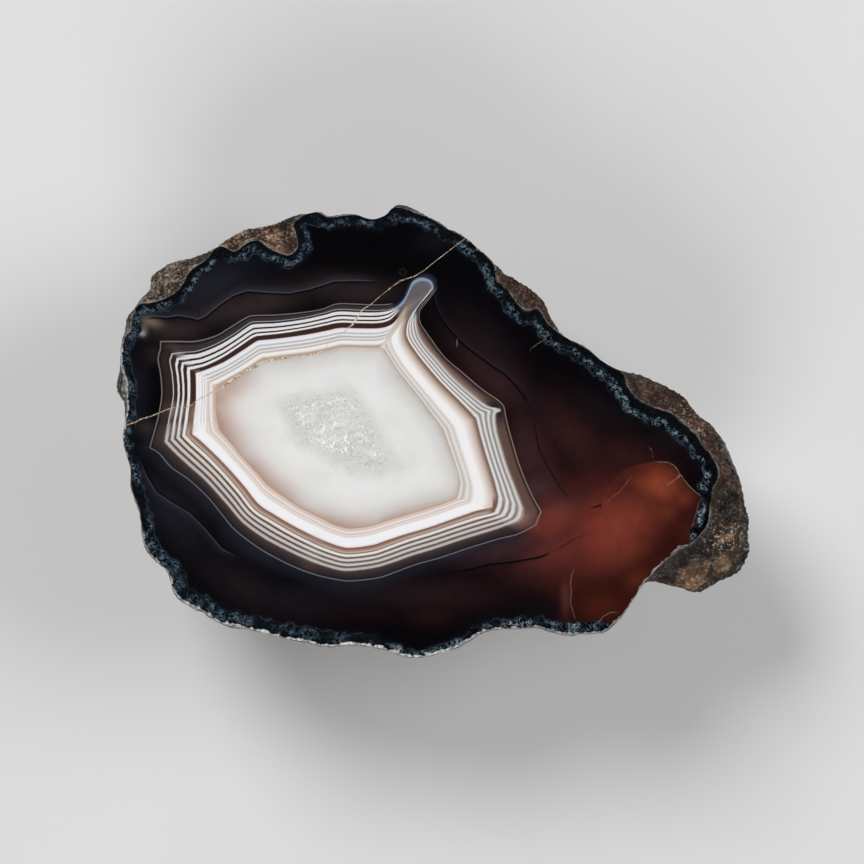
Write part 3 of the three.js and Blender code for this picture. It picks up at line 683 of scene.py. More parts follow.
def divide_ledges(mesh):
    """Makes the mesh finer on the ledges, where the rough side looks upwards and is seen from above."""
    shape = bmesh.new()
    shape.from_mesh(mesh)
    shape.normal_update()
    ledges = [
        face for face in shape.faces
        if face.normal.z > LEDGE_SLOPE and not any(vert.is_boundary for vert in face.verts)
    ]
    edges = {edge for face in ledges for edge in face.edges}
    bmesh.ops.subdivide_edges(shape, edges=list(edges), cuts=LEDGE_CUTS, use_grid_fill=True)
    shape.normal_update()
    shape.to_mesh(mesh)
    shape.free()


def positions(mesh):
    """A mesh's vertices in millimetres."""
    flat = np.empty(len(mesh.vertices) * 3, np.float32)
    mesh.vertices.foreach_get("co", flat)
    return flat.reshape(-1, 3).astype(float) / MM


def directions(mesh):
    """Which way each vertex of a mesh faces."""
    return np.array([vertex.normal[:] for vertex in mesh.vertices])


def open_edge(mesh, places):
    """The vertices of a mesh's one open edge, anticlockwise from the left end."""
    uses = np.zeros(len(mesh.edges), int)
    for loop in mesh.loops:
        uses[loop.edge_index] += 1
    beside = {}
    for edge in mesh.edges:
        if uses[edge.index] == 1:
            a, b = edge.vertices
            beside.setdefault(a, []).append(b)
            beside.setdefault(b, []).append(a)
    start = min(beside, key=lambda v: places[v][0])
    ring = [start, min(beside[start], key=lambda v: places[v][1])]
    while len(ring) < len(beside):
        ring.append(next(v for v in beside[ring[-1]] if v != ring[-2]))
    return ring


def nearest(points, line, closed=False):
    """The distance from each point to a line, the side it is on, and the place along the line."""
    starts = line if closed else line[:-1]
    ends = np.roll(line, -1, axis=0) if closed else line[1:]
    best = np.full(len(points), np.inf)
    sign = np.ones(len(points))
    place = np.zeros(len(points))
    for k, (start, end) in enumerate(zip(starts, ends)):
        step = end - start
        share = np.clip((points - start) @ step / (step @ step), 0, 1)
        offset = points - start - share[:, None] * step
        distance = np.hypot(offset[:, 0], offset[:, 1])
        closer = distance < best
        best[closer] = distance[closer]
        cross = step[0] * offset[:, 1] - step[1] * offset[:, 0]
        sign[closer] = np.where(cross[closer] >= 0, 1, -1)
        place[closer] = k + share[closer]
    return best, sign, place


def depth_inside(points, corners):
    """How far inside an outline without hollows each point is, and below 0 outside it."""
    steps = np.roll(corners, -1, axis=0) - corners
    steps /= np.linalg.norm(steps, axis=1)[:, None]
    offsets = points[:, None] - corners
    return np.min(steps[:, 0] * offsets[..., 1] - steps[:, 1] * offsets[..., 0], axis=1)


def column_places(bands, outline):
    """Which place of the bands each vertex of the outline belongs to, counted in stations."""
    outer = bands.curve(4, bands.samples(PLACING_STEPS))
    lengths = along(outer)
    _, _, found = nearest(outline, outer, closed=True)
    reached = np.interp(found, np.arange(len(lengths)), lengths)
    whole = lengths[-1]
    reached = np.unwrap(reached, period=whole)
    reached = np.maximum.accumulate(reached)
    count = len(outline)
    even = reached[0] + whole * np.arange(count) / count
    reach = SMOOTHING_REACH
    drift = reached - even
    padded = np.concatenate([drift[-reach:], drift, drift[:reach]])
    window = np.hanning(2 * reach + 1)
    drift = np.convolve(padded, window / window.sum(), "same")[reach:-reach]
    reached = even + drift
    turns = np.floor(reached / whole)
    places = np.interp(reached - turns * whole, lengths, np.arange(len(lengths))) / PLACING_STEPS
    places += turns * bands.count
    for corner in np.flatnonzero(bands.corners):
        gaps = (places - corner + bands.count / 2) % bands.count - bands.count / 2
        places[np.argmin(np.abs(gaps))] -= gaps[np.argmin(np.abs(gaps))]
    return places


def face_rings(bands, outline, places):
    """The face's rings from its edge inwards. Each is (band value, points)."""
    contours = [bands.curve(k, places) for k in range(5)]
    middle = np.array(QUARTZ_MIDDLE)
    rings = []
    for step in range(1, RINGS_OUTSIDE + 1):
        share = step / RINGS_OUTSIDE
        rings.append((6 - share, outline * (1 - share) + contours[4] * share))
    for k in (3, 2, 1, 0):
        for step in range(1, RINGS_BETWEEN[k] + 1):
            share = step / RINGS_BETWEEN[k]
            rings.append((k + 2 - share, contours[k + 1] * (1 - share) + contours[k] * share))
    for step in range(1, RINGS_IN_QUARTZ):
        share = 1 - step / RINGS_IN_QUARTZ
        rings.append((share, middle + (contours[0] - middle) * share))
    return rings


def smallest_corner(grid):
    """For each cell between two rings, the smallest area that two of its sides span, below 0 if folded."""
    after = np.roll(grid, -1, axis=1)
    corners = [grid[:-1], after[:-1], after[1:], grid[1:]]
    sides = [corners[(k + 1) % 4] - corners[k] for k in range(4)]
    spans = [
        sides[k][..., 0] * sides[(k + 1) % 4][..., 1] - sides[k][..., 1] * sides[(k + 1) % 4][..., 0]
        for k in range(4)
    ]
    return np.min(spans, axis=0)


def unfolded(outline, rings):
    """The same rings with the few cells that are folded over eased apart."""
    names = [band for band, _ in rings]
    grid = np.array([outline, *[points for _, points in rings]])
    for _ in range(MOST_EASINGS):
        folded = smallest_corner(grid) < SMALLEST_CORNER
        if not folded.any():
            break
        moves = np.zeros(grid.shape[:2], bool)
        moves[:-1] |= folded
        moves[1:] |= folded
        for _ in range(EASING_REACH):
            moves |= np.roll(moves, 1, axis=1) | np.roll(moves, -1, axis=1)
            moves[2:] |= moves[1:-1].copy()
        moves[0] = False
        moves[-1] = False
        beside = (np.roll(grid, 1, axis=1) + np.roll(grid, -1, axis=1)) / 2
        inwards = np.concatenate([grid[1:], grid[-1:]])
        outwards = np.concatenate([grid[:1], grid[:-1]])
        eased = (beside * 2 + inwards + outwards) / 4
        grid[moves] = (grid[moves] + eased[moves]) / 2
    return list(zip(names, grid[1:]))


def soft_patch(points, x, y, size_x, size_y, turn):
    """1 in the middle of a soft ellipse, fading to nearly 0 at its edge."""
    angle = math.radians(turn)
    offset = points - (x, y)
    ahead = (offset[:, 0] * math.cos(angle) + offset[:, 1] * math.sin(angle)) / size_x
    aside = (offset[:, 1] * math.cos(angle) - offset[:, 0] * math.sin(angle)) / size_y
    return np.exp(-2.8 * (ahead**2 + aside**2))


def zone_value(points, name):
    """How strong a zone's colour is at each point."""
    layers = [strength * soft_patch(points, *shape) for *shape, strength in ZONES[name]]
    return np.max(layers, axis=0)


def across_line(points, line):
    """The distance from a line with its side, in the widths that the line gives along it."""
    line = np.array(line)
    distance, sign, place = nearest(points, line[:, :2])
    return distance * sign / np.interp(place, np.arange(len(line)), line[:, 2])


def line_values(name, points, lines, reach, fade):
    """For the nearest of some lines: the distance in widths with its side, its tone and its strength."""
    nearest_yet = np.full(len(points), np.inf)
    ratio, tones, strengths = (np.zeros(len(points)) for _ in range(3))
    for line, width, tone, strength in lines:
        distance, sign, place = nearest(points, np.array(line))
        closer = distance < nearest_yet
        nearest_yet[closer] = distance[closer]
        ratio[closer] = (distance * sign)[closer] / width
        tones[closer] = tone
        ends = smoothstep(np.minimum(place, len(line) - 1 - place), 0, fade)
        near = 1 - smoothstep(distance, reach / 2, reach)
        strengths[closer] = strength * (ends * near)[closer]
    return {name: ratio, name + "_tone": tones, name + "_strength": strengths}


def border_values(points, outline):
    """The distance from the edge, and the border's widths and paleness there."""
    distance, _, place = nearest(points, outline, closed=True)
    table = np.array(BORDER)
    _, _, found = nearest(table[:, :2], outline, closed=True)
    order = np.argsort(found)
    values = {"rim": distance}
    # The lip column's paleness is partly a painted highlight where the lower edge catches the light
    for k, name in enumerate(("black", "strands", "pale", "lip_and_highlight"), start=2):
        values["border_" + name] = np.interp(
            place, found[order], table[order, k], period=len(outline)
        )
    return values


def face_values(bands, points, places, outline):
    """Every named value that the face's material reads, at each of its points."""
    samples = bands.samples(MEASURING_STEPS)
    to_quartz, quartz_side, _ = nearest(points, bands.curve(0, samples), closed=True)
    to_outer, outer_side, _ = nearest(points, bands.curve(4, samples), closed=True)
    values = {
        "core": to_quartz * quartz_side,
        "beyond": -to_outer * outer_side,
        "crystals": depth_inside(points, np.array(CRYSTALS)),
        "crack": across_line(points, CRACK),
        "seam": across_line(points, SEAM),
        **border_values(points, outline),
        **line_values("vein", points, VEINS, VEIN_REACH, VEIN_FADE),
        **line_values("mark", points, MARKS, MARK_REACH, MARK_FADE),
    }
    for name in SIDES:
        values["side_" + name] = bands.side(name, places)
    for name in ZONES:
        values["zone_" + name] = zone_value(points, name)
    return values


def lump(place, size, seed):
    """Smooth noise between about -1 and 1 at a place in millimetres."""
    return noise.noise(Vector(place) / size + Vector((seed, 2.3 * seed, -1.7 * seed)))


def crease(place, size, seed):
    """1 along thin winding lines and 0 between them."""
    return max(0.0, 1 - abs(lump(place, size, seed)) / CREASE_WIDTH)


def weathered(places, normals):
    """The rough side's vertices, worn inwards by swells, creases and pits, and how deep they are worn."""
    worn = places.copy()
    hollows = np.zeros(len(places))
    size, height = SWELLS
    for k, place in enumerate(places):
        wear = float(smoothstep(TOP - place[2], 0, FACE_CLEAR) * smoothstep(place[2], 0, FLOOR_CLEAR))
        if wear == 0:
            continue
        swell = height * max(0.0, lump(place, size, 1) + 0.2)
        cuts = sum(deep * crease(place, spread, n + 2) for n, (spread, deep) in enumerate(CREASES))
        pit = max(0.0, lump(place, PIT_SPREAD, 9) - PIT_LEVEL) * PIT_DEPTH
        wear *= SIDE_RELIEF + (1 - SIDE_RELIEF) * abs(normals[k][2])
        worn[k] = place - normals[k] * wear * (swell + cuts + pit)
        hollows[k] = cuts + pit
    worn[:, 2] = np.clip(worn[:, 2], 0, TOP)
    return worn, hollows


def agate_mesh(rough, places, edge, rings, values):
    """One closed mesh: the rough side, and the level face in rings from its edge to its middle."""
    count = len(edge)
    base = len(places)
    face_points = [(*point, TOP) for _, ring in rings for point in ring]
    face_points.append((*QUARTZ_MIDDLE, TOP))
    vertices = np.concatenate([places, face_points]) * MM
    faces = [tuple(polygon.vertices) for polygon in rough.polygons]
    rough_count = len(faces)
    before = list(edge)
    for k in range(len(rings)):
        ring = [base + k * count + j for j in range(count)]
        for j in range(count):
            after = (j + 1) % count
            faces.append((before[j], before[after], ring[after], ring[j]))
        before = ring
    middle = len(vertices) - 1
    faces += [(before[j], before[(j + 1) % count], middle) for j in range(count)]
    mesh = bpy.data.meshes.new("agate")
    mesh.from_pydata(vertices.tolist(), [], faces)
    surfaces = np.zeros(len(faces), np.int32)
    surfaces[:rough_count] = 1
    mesh.polygons.foreach_set("material_index", surfaces)
    mesh.polygons.foreach_set("use_smooth", np.ones(len(faces), bool))
    on_edge = set(edge)
    sharp = [a in on_edge and b in on_edge for a, b in (e.vertices for e in mesh.edges)]
    mesh.attributes.new("sharp_edge", "BOOLEAN", "EDGE").data.foreach_set("value", sharp)
    for name, numbers in values.items():
        mesh.attributes.new(name, "FLOAT", "POINT").data.foreach_set("value", numbers)
    mesh.update()
    return mesh


class Paint:
    """Short ways of adding nodes to one material. Plain colours are given as seen, 0 to 255."""

    def __init__(self, name):
        self.material = bpy.data.materials.new(name)
        self.material.use_nodes = True
        self.tree = self.material.node_tree
        self.shader = self.tree.nodes["Principled BSDF"]
        self.place = self.tree.nodes.new("ShaderNodeTexCoord").outputs["Object"]

    def put(self, socket, value):
        """Links a node's output to a socket, or sets a plain number or colour on it."""
        if isinstance(value, bpy.types.NodeSocket):
            self.tree.links.new(value, socket)
        else:
            socket.default_value = srgb(*value) if isinstance(value, tuple) else value

    def value(self, name):
        """A named value of the mesh."""
        found = self.tree.nodes.new("ShaderNodeAttribute")
        found.attribute_name = name
        return found.outputs["Fac"]

    def calculate(self, kind, *numbers):
        """A calculation with up to three numbers."""
        made = self.tree.nodes.new("ShaderNodeMath")
        made.operation = kind
        for socket, number in zip(made.inputs, numbers):
            self.put(socket, number)
        return made.outputs[0]

    def plus(self, first, second):
        """One number and another together."""
        return self.calculate("ADD", first, second)

    def minus(self, first, second):
        """One number less another."""
        return self.calculate("SUBTRACT", first, second)

    def times(self, product, *others):
        """Two or more numbers multiplied."""
        for other in others:
            product = self.calculate("MULTIPLY", product, other)
        return product

    def step(self, value, low, high, start=0.0, end=1.0):
        """An even rise, or fall if low is over high, held at its ends."""
        made = self.tree.nodes.new("ShaderNodeMapRange")
        made.interpolation_type = "SMOOTHSTEP"
        for name, number in (
            ("Value", value), ("From Min", low), ("From Max", high), ("To Min", start), ("To Max", end),
        ):
            self.put(made.inputs[name], number)
        return made.outputs[0]

    def scaled(self, size, stretch=(1, 1, 1)):
        """Places on the stone, counted in steps of a size in millimetres."""
        made = self.tree.nodes.new("ShaderNodeMapping")
        made.inputs["Scale"].default_value = [s / (size * MM) for s in stretch]
        self.put(made.inputs["Vector"], self.place)
        return made.outputs[0]

    def noise(self, size, detail, distortion=0.0, stretch=(1, 1, 1), roughness=0.5):
        """Noise with features of about a size in millimetres, from 0 to 1."""
        made = self.tree.nodes.new("ShaderNodeTexNoise")
        self.put(made.inputs["Vector"], self.scaled(size, stretch))
        made.inputs["Scale"].default_value = 1
        made.inputs["Detail"].default_value = detail
        made.inputs["Roughness"].default_value = roughness
        made.inputs["Distortion"].default_value = distortion
        return made.outputs["Fac"]

    def wander(self, size, detail, reach):
        """Noise on both sides of 0, whose lowest and highest are a reach apart."""
        return self.times(self.minus(self.noise(size, detail), 0.5), reach)

    def cells(self, size):
        """Cells of about a size in millimetres: the distance from their middles."""
        made = self.tree.nodes.new("ShaderNodeTexVoronoi")
        self.put(made.inputs["Vector"], self.scaled(size))
        made.inputs["Scale"].default_value = 1
        return made.outputs["Distance"]

    def distance(self, x, y):
        """The distance in millimetres from a place on the face."""
        made = self.tree.nodes.new("ShaderNodeVectorMath")
        made.operation = "DISTANCE"
        self.put(made.inputs[0], self.place)
        made.inputs[1].default_value = (x * MM, y * MM, TOP * MM)
        return self.calculate("DIVIDE", made.outputs["Value"], MM)

    def mix(self, share, first, second, blend="MIX"):
        """The first colour turning into the second."""
        made = self.tree.nodes.new("ShaderNodeMix")
        made.data_type = "RGBA"
        made.blend_type = blend
        self.put(made.inputs["Factor"], share)
        self.put(made.inputs[6], first)
        self.put(made.inputs[7], second)
        return made.outputs[2]

    def ramp(self, value, stops):
        """Colours along a value from 0 to 1."""
        made = self.tree.nodes.new("ShaderNodeValToRGB")
        self.put(made.inputs["Fac"], value)
        stops = [(place, srgb(*colour)) for place, colour in stops]
        marks = made.color_ramp.elements
        marks[0].position, marks[0].color = stops[0]
        marks[1].position, marks[1].color = stops[-1]
        for place, colour in stops[1:-1]:
            marks.new(place).color = colour
        return made.outputs["Color"]


def across(white_band, brown, lines, outside):
    """The stops of one side's bands, from the quartz's edge to the outermost line."""
    stops = [(1 + share, colour) for share, colour in white_band]
    stops += [(2 + share, colour) for share, colour in brown]
    strips, whites, gap, blur = lines
    for (start, end), white in zip(strips, whites):
        stops += [(3 + start, gap), (3 + start + blur, white), (3 + end - blur, white), (3 + end, gap)]
    stops += [(4 + share, colour) for share, colour in outside]
    return [((place - BAND_LOW) / BAND_SPAN, colour) for place, colour in stops]


def band_colours(paint):
    """The colours between the quartz and the outermost thin line, for every side."""
    band = paint.plus(paint.value("band"), paint.wander(0.5, 2, BAND_WOBBLE))
    share = paint.calculate("DIVIDE", paint.minus(band, BAND_LOW), BAND_SPAN)
    colour = None
    for name, parts in BAND_SIDES.items():
        stops = across(*parts)
        middle = len(stops) // 2
        inner = paint.ramp(share, stops[: middle + 1])
        outer = paint.ramp(share, stops[middle:])
        split = paint.calculate("GREATER_THAN", share, stops[middle][0])
        side = paint.mix(split, inner, outer)
        colour = side if colour is None else paint.mix(paint.value("side_" + name), colour, side)
    return colour


def dark_colours(paint):
    """The clouded dark agate outside the bands."""
    clouds = paint.step(paint.noise(6, 3), 0.3, 0.7, 0.9, 1.08)
    below_seam = paint.step(paint.value("seam"), 0.5, -0.5)
    colour = DARKEST
    for name, shade in ZONE_COLOURS.items():
        share = paint.times(paint.value("zone_" + name), clouds)
        if name in BELOW_SEAM:
            share = paint.times(share, below_seam)
        colour = paint.mix(paint.calculate("MINIMUM", share, 1.0), colour, shade)
    low_side = paint.plus(paint.value("side_lower_left"), paint.value("side_bottom"))
    glow = paint.times(paint.step(paint.value("beyond"), 2.0, 0.0), low_side, 0.3)
    colour = paint.mix(glow, colour, GLOW_COLOUR)
    specks = paint.times(paint.value("zone_specks"), paint.step(paint.cells(0.3), 0.22, 0.1), 0.6)
    colour = paint.mix(specks, colour, SPECK_COLOUR)
    haze = paint.step(paint.noise(1.2, 4), 0.3, 0.7, 0.93, 1.07)
    return paint.mix(1.0, colour, haze, "MULTIPLY")


def with_veins(paint, colour):
    """Thin lines in the dark agate: pale ones with a black side, and black ones."""
    vein = paint.value("vein")
    strength = paint.value("vein_strength")
    paleness = paint.times(strength, paint.value("vein_tone"))
    dark_side = paint.times(paint.step(vein, -2.6, -0.6), paint.step(vein, 0.4, -0.2), strength)
    colour = paint.mix(dark_side, colour, VEIN_BLACK)
    pale_side = paint.times(paint.step(vein, -0.5, 0.3), paint.step(vein, 7.0, 0.4), paleness, 0.3)
    colour = paint.mix(pale_side, colour, VEIN_HAZE)
    line = paint.times(paint.step(vein, -0.5, 0.1), paint.step(vein, 1.1, 0.4), paleness, 0.5)
    return paint.mix(line, colour, VEIN_PALE)


def border_pattern(paint):
    """A net of strands with frost between them."""
    ridges = paint.calculate("ABSOLUTE", paint.minus(paint.noise(0.45, 4, 0.5), 0.5))
    net = paint.times(paint.step(ridges, 0.06, 0.0), 0.75)
    frost = paint.step(paint.noise(0.36, 5, 0.4), 0.53, 0.63)
    return paint.calculate("MAXIMUM", net, frost)


def with_border(paint, colour):
    """The blue speckled border: black at the edge, then a broken net of pale strands, then a faint line."""
    rim = paint.plus(paint.value("rim"), paint.wander(1.4, 3, BORDER_WANDER))
    black = paint.value("border_black")
    strands = paint.value("border_strands")
    pale = paint.value("border_pale")
    present = paint.step(strands, 0.05, 0.4)
    inner = paint.plus(black, strands)
    haze = paint.times(paint.step(rim, paint.plus(inner, 0.8), inner), present, 0.28)
    colour = paint.mix(haze, colour, BORDER_HAZE)
    within = paint.step(rim, paint.plus(inner, 0.1), paint.minus(inner, 0.1))
    colour = paint.mix(paint.times(within, present), colour, paint.mix(pale, *BORDER_GROUNDS))
    pattern = border_pattern(paint)
    outer = paint.step(rim, black, paint.minus(black, 0.3))
    colour = paint.mix(paint.times(outer, pattern, present, 0.35), colour, BORDER_OUTSIDE)
    patches = paint.step(paint.noise(1.6, 3), 0.4, 0.6, 0.05, 0.95)
    outside = paint.step(rim, paint.minus(black, 0.1), paint.plus(black, 0.3))
    inside = paint.step(rim, paint.plus(inner, 0.1), paint.minus(inner, 0.25))
    strand = paint.times(outside, inside, pattern, patches, present)
    colour = paint.mix(strand, colour, paint.mix(pale, *BORDER_STRANDS))
    far = paint.calculate("ABSOLUTE", paint.minus(rim, paint.plus(inner, 0.1)))
    broken = paint.step(paint.noise(3, 2), 0.4, 0.6)
    line = paint.times(paint.step(far, 0.14, 0.03), broken, present, 0.4)
    return paint.mix(line, colour, BORDER_LINE)


def with_lip_and_highlight(paint, colour):
    """The thin pale rim round the lower edges: partly bare rind, partly a painted highlight of the lit edge.
    """
    lip_and_highlight = paint.value("border_lip_and_highlight")
    width = paint.plus(paint.times(lip_and_highlight, LIP_AND_HIGHLIGHT_WIDTH), paint.wander(0.8, 4, 0.9))
    inside = paint.step(paint.minus(paint.value("rim"), width), 0.06, -0.06)
    share = paint.times(inside, paint.step(lip_and_highlight, 0.1, 0.5))
    # The pale rim: partly bare rind, partly a painted highlight where the lower edge catches the light
    shade = paint.ramp(paint.noise(0.4, 3), LIP_AND_HIGHLIGHT_SHADES)
    return paint.mix(share, colour, paint.mix(lip_and_highlight, LIP_AND_HIGHLIGHT_BROWN, shade))


def with_marks(paint, colour):
    """Small chips, cracks and inclusions."""
    mark = paint.plus(paint.value("mark"), paint.wander(0.5, 4, 4.0))
    inside = paint.step(paint.calculate("ABSOLUTE", mark), 1.5, 0.6)
    worn = paint.step(paint.noise(0.35, 3), 0.3, 0.5, 0.45, 1.0)
    share = paint.times(inside, worn, paint.value("mark_strength"))
    colour = paint.mix(share, colour, paint.ramp(paint.value("mark_tone"), MARK_SHADES))
    x, y, radius = INCLUSION
    away = paint.distance(x, y)
    colour = paint.mix(paint.step(away, radius, 0.6 * radius), colour, INCLUSION_MIDDLE)
    ring = paint.step(paint.calculate("ABSOLUTE", paint.minus(away, radius)), 0.13, 0.0)
    return paint.mix(paint.times(ring, 0.07), colour, INCLUSION_RING)


def with_crack(paint, colour):
    """The healed crack: a thread of tan and gold flakes, broken in places."""
    crack = paint.plus(paint.value("crack"), paint.wander(0.3, 3, 1.5))
    inside = paint.step(paint.calculate("ABSOLUTE", crack), 1.3, 0.6)
    patchy = paint.step(paint.noise(0.7, 3), 0.34, 0.54, 0.35, 0.9)
    shade = paint.ramp(paint.noise(0.28, 3, 0.6), CRACK_SHADES)
    return paint.mix(paint.times(inside, patchy), colour, shade)


def quartz_colours(paint):
    """The pale quartz in the middle: a warm edge, a cool body and a grey core of crystals."""
    depth = paint.plus(paint.value("core"), paint.wander(3.5, 2, 1.0))
    depth = paint.calculate("DIVIDE", depth, QUARTZ_DEPTH)
    cool, warm = (paint.ramp(depth, stops) for stops in (QUARTZ_COOL, QUARTZ_WARM))
    colour = paint.mix(paint.value("zone_warm_quartz"), cool, warm)
    clouds = paint.step(paint.noise(5, 5), 0.35, 0.65, 0.0, 0.6)
    colour = paint.mix(paint.times(clouds, paint.step(depth, 0.5, 1.2)), colour, QUARTZ_CLOUDS)
    return with_crystals(paint, colour)


def with_crystals(paint, colour):
    """The core of crystals: grey-green and grainy, with short bright glints inside its rim."""
    place = paint.plus(paint.value("crystals"), paint.wander(1.4, 4, 1.3))
    crystals = paint.step(place, -1.1, 1.5)
    colour = paint.mix(paint.times(crystals, 0.8), colour, CRYSTAL_BODY)
    inner = paint.step(place, 0.4, 1.8)
    milky = paint.step(paint.noise(1.6, 3), 0.45, 0.65, 0.0, 0.5)
    colour = paint.mix(paint.times(milky, inner), colour, CRYSTAL_MILK)
    upright = paint.noise(0.34, 3, 1.6, (1, 0.45, 1))
    slanting = paint.noise(0.34, 3, 1.6, (0.6, 1, 1))
    dark_grains = paint.times(paint.step(slanting, 0.46, 0.36), crystals, 0.5)
    colour = paint.mix(dark_grains, colour, CRYSTAL_GRAINS)
    bright = paint.times(paint.step(paint.noise(2.6, 3), 0.32, 0.56, 0.35, 1.0), inner)
    streaks = paint.calculate("MAXIMUM", paint.step(upright, 0.57, 0.63), paint.step(slanting, 0.6, 0.66))
    return paint.mix(paint.times(streaks, bright), colour, CRYSTAL_GLINTS)


def polished_face():
    """The sawn face: glass-smooth, with every band, line and cloud as colour."""
    paint = Paint("polished_agate")
    dark = with_border(paint, with_veins(paint, dark_colours(paint)))
    outside = paint.step(paint.value("beyond"), 0.02, 0.1)
    colour = paint.mix(outside, band_colours(paint), dark)
    in_quartz = paint.step(paint.value("core"), 0.0, 0.08)
    colour = paint.mix(in_quartz, colour, quartz_colours(paint))
    colour = with_lip_and_highlight(paint, with_marks(paint, with_crack(paint, colour)))
    paint.put(paint.shader.inputs["Base Color"], colour)
    paint.put(paint.shader.inputs["Roughness"], paint.step(paint.noise(8, 3), 0.3, 0.7, 0.05, 0.1))
    paint.shader.inputs["IOR"].default_value = AGATE_IOR
    return paint.material


def rind_colours(paint, grain):
    """The rind's colours: grey-brown, pale on the grains and dark in the hollows, with its own patches."""
    hollow = paint.times(paint.step(paint.value("hollow"), 0.03, 0.3), 0.5)
    height = paint.calculate("MAXIMUM", paint.minus(paint.step(grain, 0.36, 0.67), hollow), 0.0)
    broad = paint.times(paint.step(paint.noise(7, 3), 0.4, 0.62), 0.4)
    colour = paint.mix(broad, paint.mix(height, *RIND_BASE), RIND_BROWN)
    edges = paint.wander(1.0, 4, 1.1)
    for name, shades in RIND_COLOURS.items():
        present = paint.step(paint.plus(paint.value("zone_" + name), edges), 0.15, 0.55)
        colour = paint.mix(present, colour, paint.mix(height, *shades))
    return colour


def with_rind_grains(paint, colour):
    """Sparks, pores and wrinkles on the rind."""
    glitter = paint.calculate("MULTIPLY_ADD", paint.value("zone_glitter"), 0.85, 0.12)
    sparks = paint.times(paint.step(paint.noise(0.32, 3, 0.6), 0.57, 0.64), glitter)
    colour = paint.mix(sparks, colour, RIND_SPARKS)
    pores = paint.times(paint.step(paint.noise(0.4, 4, 0.4), 0.43, 0.35), 0.4)
    colour = paint.mix(pores, colour, RIND_PORES)
    wrinkles = paint.step(paint.noise(1.5, 4, 0.8), 0.34, 0.64, 0.66, 1.18)
    return paint.mix(1.0, colour, wrinkles, "MULTIPLY")


def with_rind_edges(paint, colour, grain):
    """The broken pale edge next to the polished face, and the pale lip below it, partly a painted highlight.
    """
    patches = paint.step(paint.noise(1.3, 3), 0.38, 0.54, 0.1, 0.85)
    broken = paint.times(paint.step(grain, 0.34, 0.5), patches)
    seam_edge = paint.times(paint.step(paint.value("from_face"), 0.5, 0.12), broken)
    colour = paint.mix(seam_edge, colour, RIND_EDGE)
    # The pale lip: partly pale rind, partly a painted highlight of the lit lower edge
    lip_and_highlight = paint.times(paint.value("lip_and_highlight"), paint.step(paint.noise(1.2, 4), 0.38, 0.56))
    return paint.mix(lip_and_highlight, colour, RIND_LIP_AND_HIGHLIGHT)


def rough_rind():
    """The weathered outside: grey-brown, grainy and dull."""
    paint = Paint("rough_rind")
    chips = paint.step(paint.cells(0.55), 0.55, 0.15, -0.05, 0.05)
    grain = paint.plus(paint.noise(0.42, 5, 0.5, roughness=0.72), chips)
    colour = with_rind_grains(paint, rind_colours(paint, grain))
    paint.put(paint.shader.inputs["Base Color"], with_rind_edges(paint, colour, grain))
    paint.put(paint.shader.inputs["Roughness"], paint.step(grain, 0.3, 0.7, 0.9, 0.6))
    bump = paint.tree.nodes.new("ShaderNodeBump")
    bump.inputs["Strength"].default_value = 0.9
    bump.inputs["Distance"].default_value = GRAIN_HEIGHT * MM
    paint.put(bump.inputs["Height"], grain)
    paint.put(paint.shader.inputs["Normal"], bump.outputs[0])
    return paint.material


def rind_values(places, outline):
    """The named values of the rough side that its own material reads."""
    flat = places[:, :2]
    depth = TOP - places[:, 2]
    from_face, _, _ = nearest(flat, outline, closed=True)
    values = {"from_face": from_face + smoothstep(depth, *EDGE_ENDS)}
    for name in RIND_ZONES:
        values["zone_" + name] = zone_value(flat, name) * smoothstep(depth, *PATCHES_FADE)
    # The pale lip on the lower side, partly a painted highlight of the lit edge
    low_side = smoothstep(-flat[:, 1] - LIP_AND_HIGHLIGHT_SLANT * flat[:, 0], *LIP_AND_HIGHLIGHT_STARTS)
    low_side *= smoothstep(flat[:, 0], *LIP_AND_HIGHLIGHT_STOPS)
    values["lip_and_highlight"] = low_side * smoothstep(depth, *LIP_AND_HIGHLIGHT_FADES)
    return values


def all_values(rough_values, found, rough_count, face_count, edge):
    """One list of numbers for each named value, over the rough side and then the face."""
    values = {}
    for name, numbers in found.items():
        full = np.zeros(rough_count + face_count - len(edge))
        full[rough_count:] = numbers[len(edge):]
        full[list(edge)] = numbers[: len(edge)]
        values[name] = full
    for name, numbers in rough_values.items():
        full = values.get(name, np.zeros(rough_count + face_count - len(edge)))
        inner = np.ones(rough_count, bool)
        inner[list(edge)] = name not in found
        full[:rough_count][inner] = numbers[inner]
        values[name] = full
    return values


def build_agate():
    """The whole stone, in place of the CAD solid."""
    bands = Bands()
    rough = rough_side(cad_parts[NODE])
    places = positions(rough)
    edge = open_edge(rough, places)
    outline = places[edge][:, :2]
    stations = column_places(bands, outline)
    rings = unfolded(outline, face_rings(bands, outline, stations))
    points = np.concatenate([outline, *[ring for _, ring in rings], [QUARTZ_MIDDLE]])
    found = face_values(bands, points, np.concatenate([np.tile(stations, len(rings) + 1), [0]]), outline)
    heights = [np.full(len(edge), 6.0), *[np.full(len(edge), band) for band, _ in rings], [0.0]]
    found["band"] = np.concatenate(heights)
    worn, hollows = weathered(places, directions(rough))
    rough_values = {**rind_values(places, outline), "hollow": hollows}
    values = all_values(rough_values, found, len(places), len(points), edge)
    mesh = agate_mesh(rough, worn, edge, rings, values)
    mesh.materials.append(polished_face())
    mesh.materials.append(rough_rind())
    agate = bpy.data.objects.new("agate", mesh)
    bpy.context.scene.collection.objects.link(agate)
    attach(agate, "root")
    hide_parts(NODE)
    return agate


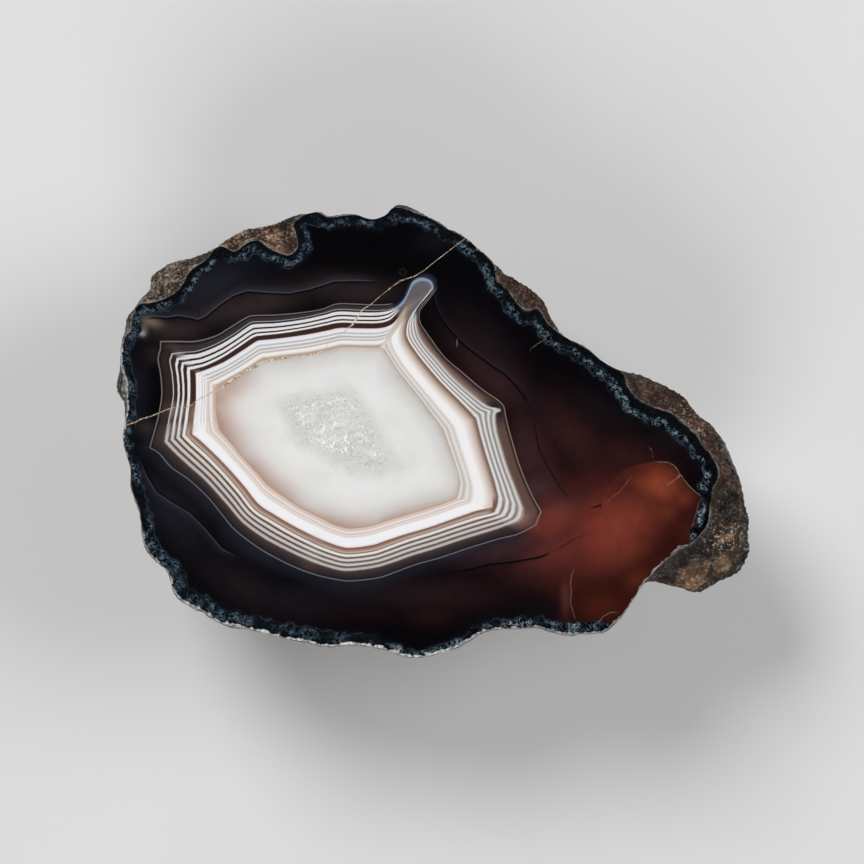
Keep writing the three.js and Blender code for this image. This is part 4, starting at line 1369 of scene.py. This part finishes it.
def build_floor():
    """A plain pale floor."""
    paint = Paint("pale_floor")
    paint.put(paint.shader.inputs["Base Color"], paint.ramp(paint.noise(60, 2), FLOOR_SHADES))
    paint.shader.inputs["Roughness"].default_value = 0.9
    bpy.ops.mesh.primitive_plane_add(size=FLOOR_SIZE)
    floor = bpy.context.object
    floor.name = "floor"
    floor.data.materials.append(paint.material)


def add_light(name, place, size, power):
    """A soft lamp that looks at the stone. The polished face doesn't mirror it."""
    light = bpy.data.lights.new(name, "AREA")
    light.shape = "DISK"
    light.size = size
    light.energy = power
    lamp = bpy.data.objects.new(name, light)
    lamp.location = place
    aim = Vector((0, 0, TOP * MM)) - Vector(place)
    lamp.rotation_euler = aim.to_track_quat("-Z", "Y").to_euler()
    lamp.visible_glossy = False
    bpy.context.scene.collection.objects.link(lamp)


def light_studio():
    """Soft lamps all round, and a sky that is dark straight above, where the level face mirrors it."""
    for name, place, size, power in LAMPS:
        add_light(name, place, size, power)
    world = bpy.data.worlds.new("studio")
    world.use_nodes = True
    nodes, links = world.node_tree.nodes, world.node_tree.links
    direction = nodes.new("ShaderNodeTexCoord")
    parts = nodes.new("ShaderNodeSeparateXYZ")
    links.new(direction.outputs["Generated"], parts.inputs[0])
    sky = nodes.new("ShaderNodeValToRGB")
    links.new(parts.outputs["Z"], sky.inputs["Fac"])
    marks = sky.color_ramp.elements
    marks[0].position, marks[0].color = 0.0, (*[SKY_LOW] * 3, 1)
    marks[1].position, marks[1].color = SKY_TOP_FROM, (*[SKY_TOP] * 3, 1)
    links.new(sky.outputs["Color"], nodes["Background"].inputs["Color"])
    bpy.context.scene.world = world


def place_camera():
    """Straight above the face, as in the photograph, and far away so that lower parts keep their scale."""
    camera = bpy.data.cameras.new("camera")
    camera.sensor_width = SENSOR
    camera.lens = SENSOR * CAMERA_HEIGHT / VIEW_WIDTH
    camera.clip_end = 10
    eye = bpy.data.objects.new("camera", camera)
    eye.location = (VIEW_MIDDLE[0] * MM, VIEW_MIDDLE[1] * MM, (TOP + CAMERA_HEIGHT) * MM)
    bpy.context.scene.collection.objects.link(eye)
    bpy.context.scene.camera = eye


bpy.context.scene.view_settings.view_transform = "Standard"
place_camera()
light_studio()
build_floor()
build_agate()

bpy.context.view_layer.update()
